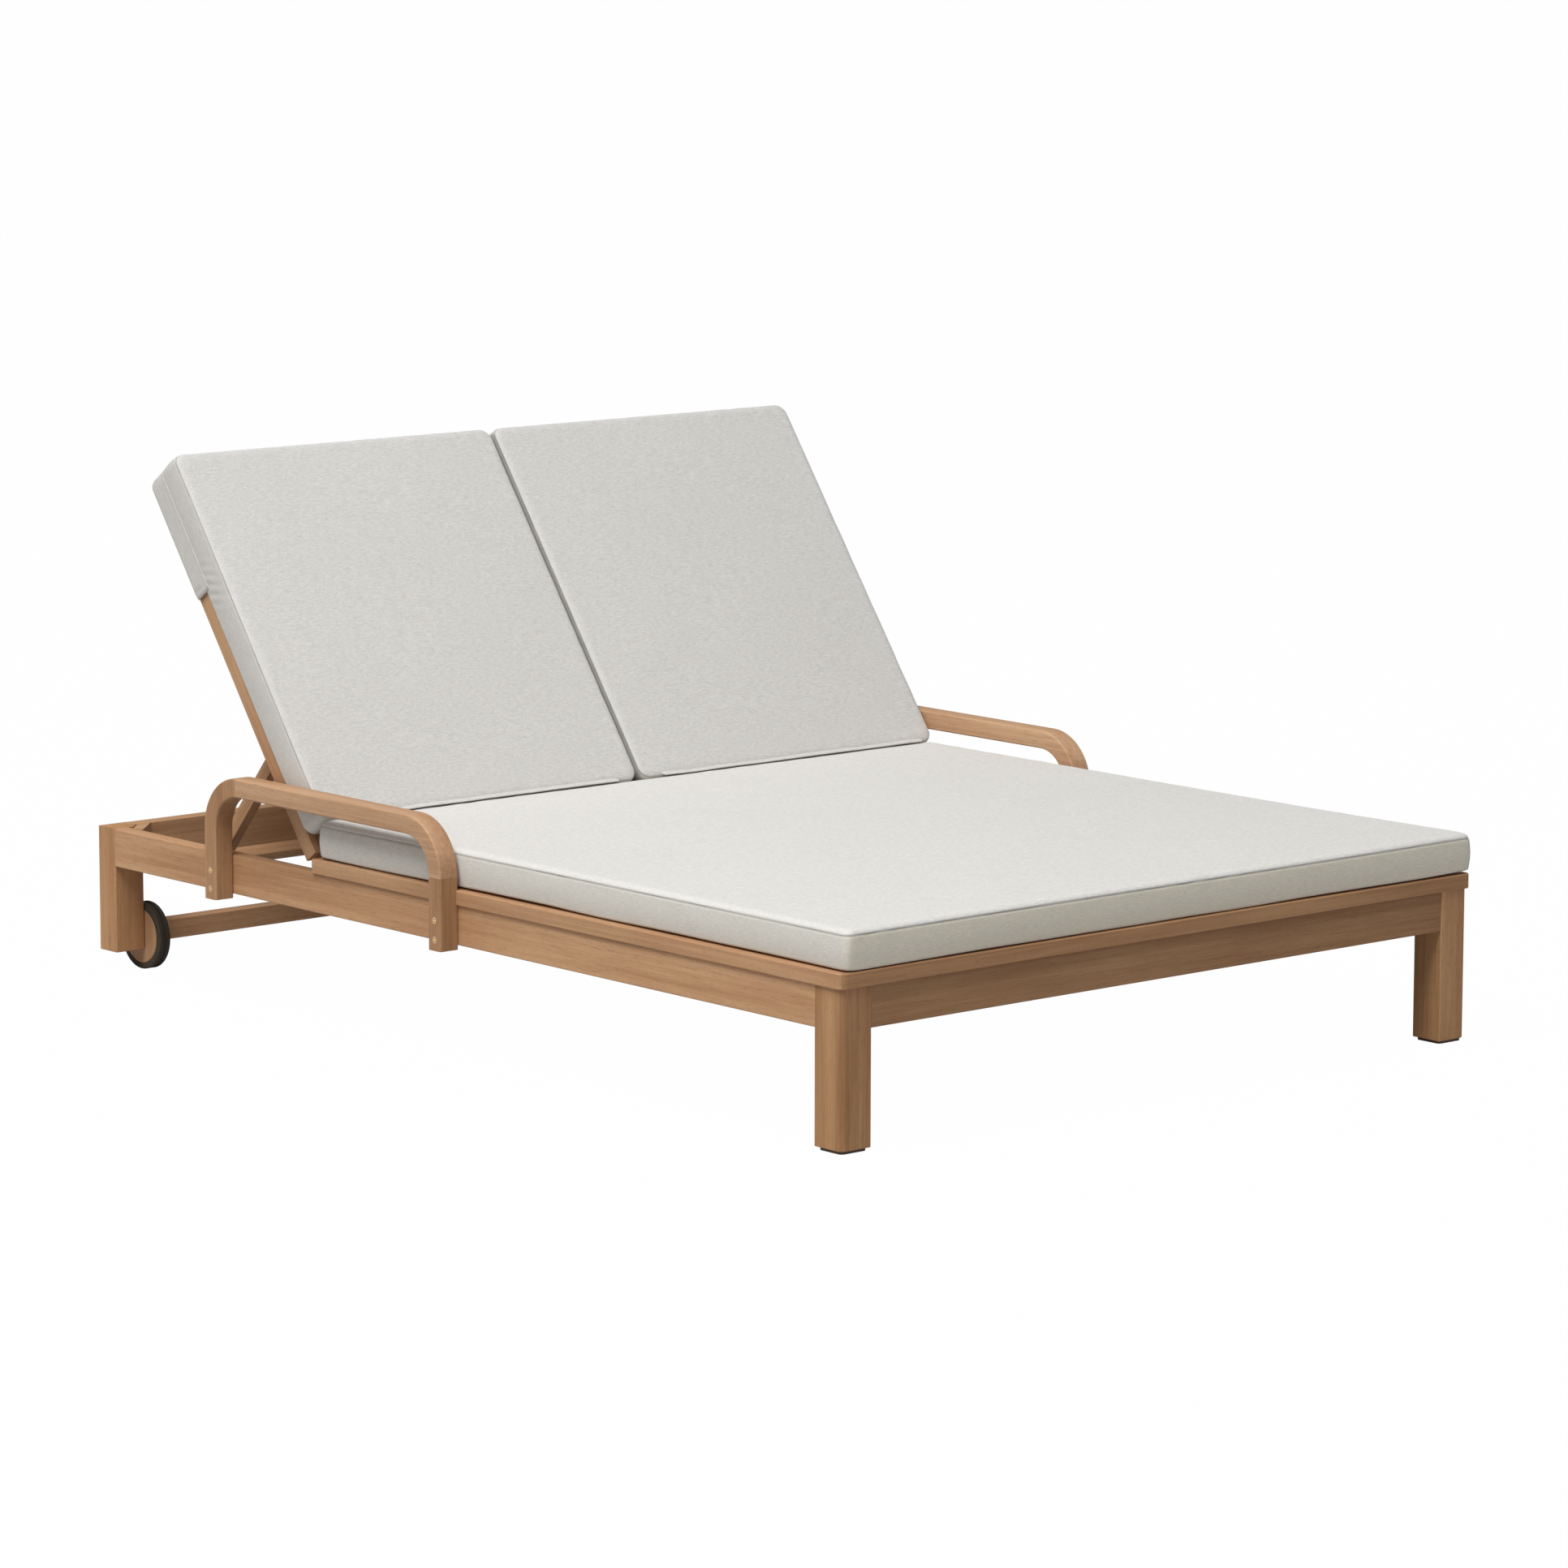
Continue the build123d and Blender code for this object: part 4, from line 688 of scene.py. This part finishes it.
def flap_rings(half_x, rise, sizes, seed):
    """A narrow band of doubled fabric sewn along the lower front edge of a back cushion, in its own axes.

    An oval is tilted out of the cushion's face and carried across it. Its height and lift waver a little
    along the way, and it narrows to nothing at both ends. A dark line of painted shade runs along its upper
    edge.
    """
    station_count, point_count, end_length = 160, 20, 0.004
    half_thick, tilt = 0.0014, math.radians(-30)
    waver_length, taller, waver_up, waver_out = 0.16, 0.10, 0.0012, 0.0008
    crease_shade_place, crease_shade_width, crease_shade_strength = 0.85, 0.15, 0.2
    stations = np.linspace(-1, 1, station_count)
    turn = np.linspace(0, 2 * math.pi, point_count, endpoint=False)
    ends = np.clip((1 - np.abs(stations)) / end_length, 0.02, 1) ** 0.5
    waver = ripple(np.stack([stations * half_x, stations * 0, stations * 0], axis=1), waver_length, seed)
    tall = (sizes.flap_height / 2 * (1 + taller * waver) * ends)[:, None]
    thick = (half_thick * ends)[:, None]
    waver = waver[:, None]
    out = (np.sign(np.cos(turn)) * np.abs(np.cos(turn)) ** 0.5)[None]
    over = (np.sign(np.sin(turn)) * np.abs(np.sin(turn)) ** 0.8)[None]
    rings = np.empty((len(stations), len(turn), 3))
    rings[:, :, 0] = stations[:, None] * half_x
    rings[:, :, 1] = tall * out * math.cos(tilt) - thick * over * math.sin(tilt) + waver_up * waver
    rings[:, :, 2] = rise + tall * out * math.sin(tilt) + thick * over * math.cos(tilt) + waver_out * waver
    # Painted shade: a dark line along the band's upper edge, for the crease above it.
    crease_shade = np.exp(-((out - crease_shade_place) / crease_shade_width) ** 2) * (over > 0)
    seam = np.repeat(crease_shade * crease_shade_strength, len(stations), axis=0)
    return rings, rings + [0, 0, 1], seam, np.zeros(seam.shape)


def back_place(points, middle_x, start):
    """Points of a flat piece carried onto the raised back rest.

    X stays across, Y becomes the way up the back rest from its hinge, and Z stands off its slats.
    """
    along = points[..., 1] + start
    off = points[..., 2] + cushion_gap - slat_face_below_hinge
    placed = np.empty_like(points)
    placed[..., 0] = points[..., 0] + middle_x
    placed[..., 1] = hinge_y + along * math.cos(back_angle) - off * math.sin(back_angle)
    placed[..., 2] = hinge_z + along * math.sin(back_angle) + off * math.cos(back_angle)
    return placed


def dress(piece, material, body, stands_for):
    """Give a new piece its material and its body, and hide the CAD nodes that it stands for."""
    piece.data.materials.append(material)
    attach(piece, body)
    if stands_for:
        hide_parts(*stands_for)


def paint(names, material):
    """Put a material in the only slot of CAD nodes."""
    for name in names:
        mesh = nodes[name].data
        mesh.materials.clear()
        mesh.materials.append(material)


def both_sides(*names):
    """The left and the right node of each name."""
    return [side + "_" + name for side in ("left", "right") for name in names]


# Turns that carry a board's long direction onto the grain's X axis.
along_x = (0.0, 0.0, 0.0)
along_y = (0.0, 0.0, math.pi / 2)
along_z = (0.0, math.pi / 2, 0.0)
along_back = (-back_angle, 0.0, math.pi / 2)
along_strut = (strut_angle, 0.0, math.pi / 2)


def board_warmth(name):
    """How warm a board's colour is, from the arm bars to the legs and the foot end. The legs' warmth is their
    own tone; the foot-end boards' warmth is partly their own tone and partly painted shade for their front
    faces.
    """
    if "arm_bar" in name:
        return 0.0
    if "arm_posts" in name:
        return 0.7
    # The foot-end boards are warmed partly as painted shade for their front faces.
    if "leg" in name or "front" in name:
        return 1.1
    return 0.5


class LOUNGER_OT_wood(bpy.types.Operator):
    """Give every wooden piece of the frame its grain"""
    bl_idname = "lounger.wood"
    bl_label = "Wooden Frame"

    def execute(self, context):
        # Each piece with the way that its grain runs and how much of the wood's colour it keeps. The low
        # values of the front apron, the front border board and the left front leg are painted shade for their
        # front faces.
        boards = [
            ("left_side_rail", along_y, 1.08), ("right_side_rail", along_y, 1.0),
            ("front_apron", along_x, 0.72), ("rear_rail", along_x, 1.0),
            ("left_center_rail", along_y, 0.95), ("right_center_rail", along_y, 1.0),
            ("seat_cross_rails", along_x, 0.95), ("corner_blocks", along_x, 0.95),
            ("left_front_leg", along_z, 0.89), ("right_front_leg", along_z, 0.94),
            ("left_rear_leg", along_z, 1.0), ("right_rear_leg", along_z, 0.97),
            ("left_border_board", along_y, 0.97), ("right_border_board", along_y, 1.0),
            ("front_border_board", along_x, 0.80), ("rear_board", along_x, 1.0),
            ("seat_slats", along_x, 1.0), ("slat_ledgers", along_y, 0.95),
            ("left_arm_bar", along_y, 0.98), ("right_arm_bar", along_y, 1.0),
            ("left_arm_posts", along_z, 0.88), ("right_arm_posts", along_z, 0.88),
            ("left_wheel_disc", along_z, 0.85), ("right_wheel_disc", along_z, 0.85),
            ("axle_beam", along_x, 1.0), ("frame_dowels", along_x, 1.0), ("strut_racks", along_y, 0.95),
            ("left_back_outer_stile", along_back, 0.98), ("right_back_outer_stile", along_back, 1.0),
            ("left_back_inner_stile", along_back, 1.0), ("right_back_inner_stile", along_back, 0.96),
            ("left_back_bottom_rail", along_x, 0.97), ("right_back_bottom_rail", along_x, 1.0),
            ("left_back_top_rail", along_x, 1.0), ("right_back_top_rail", along_x, 0.96),
            ("left_back_slats", along_x, 1.0), ("right_back_slats", along_x, 0.98),
            ("left_strut_arms", along_strut, 0.98), ("right_strut_arms", along_strut, 1.0),
            ("left_strut_bar", along_x, 1.0), ("right_strut_bar", along_x, 1.0)]
        for index, (name, grain, shade) in enumerate(boards):
            offset = (0.37 * index, 0.71 * index, 0.53 * index)
            paint([name], wood_material("wood_" + name, grain, offset, shade, board_warmth(name)))
        return {"FINISHED"}


class LOUNGER_OT_fittings(bpy.types.Operator):
    """Give the bolts, hinges, screws, tyres and feet their finishes"""
    bl_idname = "lounger.fittings"
    bl_label = "Fittings and Wheels"

    def execute(self, context):
        polished, plated, tyre_dull, moulded = 0.24, 0.38, 0.72, 0.5
        bush_shade, foot_shade = 0.5, 0.2
        colours = context.scene.lounger_colours
        brass = metal_material("brass_bolts", tuple(colours.brass), polished)
        paint(["arm_bolts_and_inserts"], brass)
        steel = metal_material("plated_steel", tuple(colours.steel), plated)
        paint(["hanger_bolts_and_wing_nuts", "axle_pins_and_washers", "fixed_hinge_leaves_and_pins",
               "wood_screws"], steel)
        paint(both_sides("moving_hinge_leaves", "strut_bolts"), steel)
        paint(both_sides("wheel_tyre"), rubber_material("tyre_rubber", tuple(colours.rubber), tyre_dull))
        bush_color = tuple(c * bush_shade for c in colours.rubber)
        paint(both_sides("wheel_bush"), rubber_material("black_nylon", bush_color, moulded))
        foot_color = tuple(c * foot_shade for c in colours.wood_dark)
        paint(["foot_glides"], rubber_material("brown_nylon", foot_color, moulded))
        return {"FINISHED"}


class LOUNGER_OT_seat_cushion(bpy.types.Operator):
    """Build the wide seat cushion"""
    bl_idname = "lounger.seat_cushion"
    bl_label = "Seat Cushion"

    def execute(self, context):
        sizes = context.scene.lounger_sizes
        half_x = (seat_high.x - seat_low.x) / 2
        half_y = (seat_high.y - seat_low.y) / 2
        rings, weave, seam, side = cushion_rings(half_x, half_y, sizes.seat_crown, sizes.draw_in,
                                                 sizes.seat_corner, sizes, seat_seed)
        settle(rings, half_x, half_y, sizes, seat_seed + 1)
        rings += [(seat_high.x + seat_low.x) / 2, (seat_high.y + seat_low.y) / 2, seat_low.z]
        piece = closed_mesh("seat_cushion_cover", rings, weave, seam, side)
        fabric = fabric_material("seat_fabric", *seat_cloth)
        dress(piece, fabric, "frame", ["seat_cushion"])
        return {"FINISHED"}


def add_back_cushion(side, sign, material, sizes, seed):
    """One back cushion on its back rest, with a faint seam, and painted shade on the cloth where it faces the
    other one.
    """
    gap_depth, seam_share = 0.003, 0.5
    half_y = back_cushion_length / 2
    middle_y = back_cushion_start + half_y
    rings, weave, seam, cloth_side = cushion_rings(
        back_cushion_half_width, half_y, sizes.back_crown, 0.0, sizes.back_corner, sizes, seed,
        hood_start - middle_y)
    # Painted shade on the cloth in the gap where the two back cushions face each other, carried by the seam
    # map.
    painted_gap_shade = (-sign * rings[:, :, 0] > back_cushion_half_width - gap_depth) * (cloth_side > 0)
    seam = np.maximum(seam_share * seam, painted_gap_shade)
    placed = back_place(rings, sign * back_cushion_middle, middle_y)
    piece = closed_mesh(side + "_back_cushion_cover", placed, weave, seam, cloth_side)
    dress(piece, material, side + "_back", [side + "_back_cushion"])
    return piece


def add_hood(side, sign, material, sizes, seed):
    """The hood that holds one back cushion on the head end of its back rest."""
    half_x, half_y = back_cushion_half_width, back_cushion_length / 2
    middle_y = back_cushion_start + half_y
    grid, weave, seam = hood_surface(half_x, half_y, hood_start - middle_y, hood_depth, sizes, seed)
    placed = back_place(grid, sign * back_cushion_middle, middle_y)
    hood = skin_mesh(side + "_hood_cover", placed, weave, seam, sizes.hood_wall)
    dress(hood, material, side + "_back", [side + "_cushion_hood"])


def add_flap(side, sign, material, sizes, seed):
    """The folded band along the foot of one back cushion, halfway up its crown."""
    rise = sizes.side_height + 0.5 * sizes.back_crown
    rings, weave, seam, plain = flap_rings(flap_half_width, rise, sizes, seed)
    placed = back_place(rings, sign * flap_middle, flap_start)
    flap = closed_mesh(side + "_cushion_flap", placed, weave, seam, plain)
    dress(flap, material, side + "_back", None)


class LOUNGER_OT_back_cushions(bpy.types.Operator):
    """Build the two back cushions and the hoods that hold them on the back rests"""
    bl_idname = "lounger.back_cushions"
    bl_label = "Back Cushions"

    def execute(self, context):
        sizes = context.scene.lounger_sizes
        material = fabric_material("back_fabric", *back_cloth)
        for side, sign in (("left", -1), ("right", 1)):
            seed = back_seeds[side]
            cushion = add_back_cushion(side, sign, material, sizes, seed)
            add_hood(side, sign, material, sizes, seed)
            add_flap(side, sign, material, sizes, seed + flap_seed_step)
        return {"FINISHED"}


class LOUNGER_OT_stage(bpy.types.Operator):
    """Set up the floor, the lights and the camera"""
    bl_idname = "lounger.stage"
    bl_label = "Stage"

    def execute(self, context):
        scene = context.scene
        key_place, key_size, key_power = (-5.2, -1.7, 9.7), 6.0, 1190
        scene.view_settings.view_transform = "Standard"
        make_floor()
        make_world(scene)
        make_lamp("key", key_place, key_size, key_power)
        make_camera(scene)
        return {"FINISHED"}


def make_floor():
    """A pale floor that bends up into a backdrop: a straight run, a quarter arc, then a straight rise.

    The camera sees it nearly white, and it lights the lounger from below as a grey floor does.
    """
    near, far, bend, bend_points, top, half_width = -40.0, 14.0, 6.0, 24, 40.0, 60.0
    grey, seen_white = (0.52, 0.52, 0.52, 1), 0.99
    turn = np.linspace(0, math.pi / 2, bend_points)
    run = np.stack([far + bend * np.sin(turn), bend * (1 - np.cos(turn))], axis=1)
    profile = np.vstack([[near, 0.0], run, [far + bend, top]])
    across = np.array([-half_width, half_width])
    points = np.empty((len(profile), 2, 3))
    points[:, :, 0] = across[None]
    points[:, :, 1] = profile[:, 0][:, None]
    points[:, :, 2] = profile[:, 1][:, None]
    row = np.arange(len(profile) - 1) * 2
    faces = np.stack([row, row + 1, row + 3, row + 2], axis=1)
    mesh = bpy.data.meshes.new("floor")
    mesh.from_pydata(points.reshape(-1, 3).tolist(), [], faces.tolist())
    mesh.polygons.foreach_set("use_smooth", [True] * len(mesh.polygons))
    floor = bpy.data.objects.new("floor", mesh)
    bpy.context.scene.collection.objects.link(floor)
    material = bpy.data.materials.new("pale_floor")
    material.use_nodes = True
    tree = material.node_tree
    shader = tree.nodes["Principled BSDF"]
    shader.inputs["Base Color"].default_value = grey
    shader.inputs["Roughness"].default_value = 0.9
    glow = tree.nodes.new("ShaderNodeEmission")
    glow.inputs["Color"].default_value = (1, 1, 1, 1)
    path = tree.nodes.new("ShaderNodeLightPath")
    share = add_math(tree, "MULTIPLY", path.outputs["Is Camera Ray"], seen_white)
    mix = tree.nodes.new("ShaderNodeMixShader")
    tree.links.new(share, mix.inputs["Fac"])
    tree.links.new(shader.outputs["BSDF"], mix.inputs[1])
    tree.links.new(glow.outputs["Emission"], mix.inputs[2])
    tree.links.new(mix.outputs["Shader"], tree.nodes["Material Output"].inputs["Surface"])
    mesh.materials.append(material)
    return floor


def make_world(scene):
    """Even pale light from all round, white where a camera, glossy or transmission ray sees it."""
    light, seen_white = 0.30, 1.0
    world = bpy.data.worlds.new("studio")
    world.use_nodes = True
    scene.world = world
    tree = world.node_tree
    background = tree.nodes["Background"]
    background.inputs["Color"].default_value = (1.0, 1.0, 1.0, 1)
    path = tree.nodes.new("ShaderNodeLightPath")
    seen = add_math(tree, "MAXIMUM", path.outputs["Is Camera Ray"], path.outputs["Is Glossy Ray"])
    seen = add_math(tree, "MAXIMUM", seen, path.outputs["Is Transmission Ray"])
    strength = add_range(tree, seen, 0.0, 1.0, light, seen_white)
    tree.links.new(strength, background.inputs["Strength"])


def make_lamp(name, place, size, power):
    """A square area lamp that faces the middle of the lounger."""
    data = bpy.data.lights.new(name, "AREA")
    data.size = size
    data.energy = power
    lamp = bpy.data.objects.new(name, data)
    lamp.location = place
    aim = Vector((0, 0, 0.3)) - Vector(place)
    lamp.rotation_euler = aim.to_track_quat("-Z", "Y").to_euler()
    bpy.context.scene.collection.objects.link(lamp)


def make_camera(scene):
    """The photograph's camera; its place, turn and focal length were fitted to the boards' straight edges."""
    bearing, height, roll = math.radians(-40.72), math.radians(9.14), math.radians(0.12)
    place = Vector((-6.9719, -8.1610, 2.1109))
    focal_pixels, picture_pixels, sensor_width = 7788.0, 1932.0, 36.0
    level = math.cos(height)
    back = Vector((math.sin(bearing) * level, -math.cos(bearing) * level, math.sin(height)))
    right = Vector((0, 0, 1)).cross(back).normalized()
    up = back.cross(right)
    turned_right = right * math.cos(roll) + up * math.sin(roll)
    turned_up = up * math.cos(roll) - right * math.sin(roll)
    data = bpy.data.cameras.new("photo_camera")
    data.sensor_fit = "HORIZONTAL"
    data.sensor_width = sensor_width
    data.lens = sensor_width * focal_pixels / picture_pixels
    data.clip_end = 200.0
    camera = bpy.data.objects.new("photo_camera", data)
    camera.matrix_world = Matrix((
        (turned_right.x, turned_up.x, back.x, place.x),
        (turned_right.y, turned_up.y, back.y, place.y),
        (turned_right.z, turned_up.z, back.z, place.z),
        (0, 0, 0, 1)))
    scene.collection.objects.link(camera)
    scene.camera = camera


class LOUNGER_PT_panel(bpy.types.Panel):
    """Sizes, colours and building steps of the lounger"""
    bl_idname = "LOUNGER_PT_panel"
    bl_label = "Double Chaise Lounger"
    bl_space_type = "VIEW_3D"
    bl_region_type = "UI"
    bl_category = "Lounger"

    def draw(self, context):
        layout = self.layout
        for group in (context.scene.lounger_sizes, context.scene.lounger_colours):
            box = layout.box()
            for name in group.bl_rna.properties.keys():
                if name not in ("rna_type", "name"):
                    box.prop(group, name)
        for operator in operators:
            layout.operator(operator.bl_idname)


operators = (LOUNGER_OT_wood, LOUNGER_OT_fittings, LOUNGER_OT_seat_cushion, LOUNGER_OT_back_cushions,
             LOUNGER_OT_stage)
classes = (LoungerSizes, LoungerColours, *operators, LOUNGER_PT_panel)


def register():
    for cls in classes:
        bpy.utils.register_class(cls)
    bpy.types.Scene.lounger_sizes = PointerProperty(type=LoungerSizes)
    bpy.types.Scene.lounger_colours = PointerProperty(type=LoungerColours)


def unregister():
    del bpy.types.Scene.lounger_colours
    del bpy.types.Scene.lounger_sizes
    for cls in reversed(classes):
        bpy.utils.unregister_class(cls)


def main():
    register()
    bpy.ops.lounger.wood()
    bpy.ops.lounger.fittings()
    bpy.ops.lounger.seat_cushion()
    bpy.ops.lounger.back_cushions()
    bpy.ops.lounger.stage()


if __name__ == "__main__":
    main()
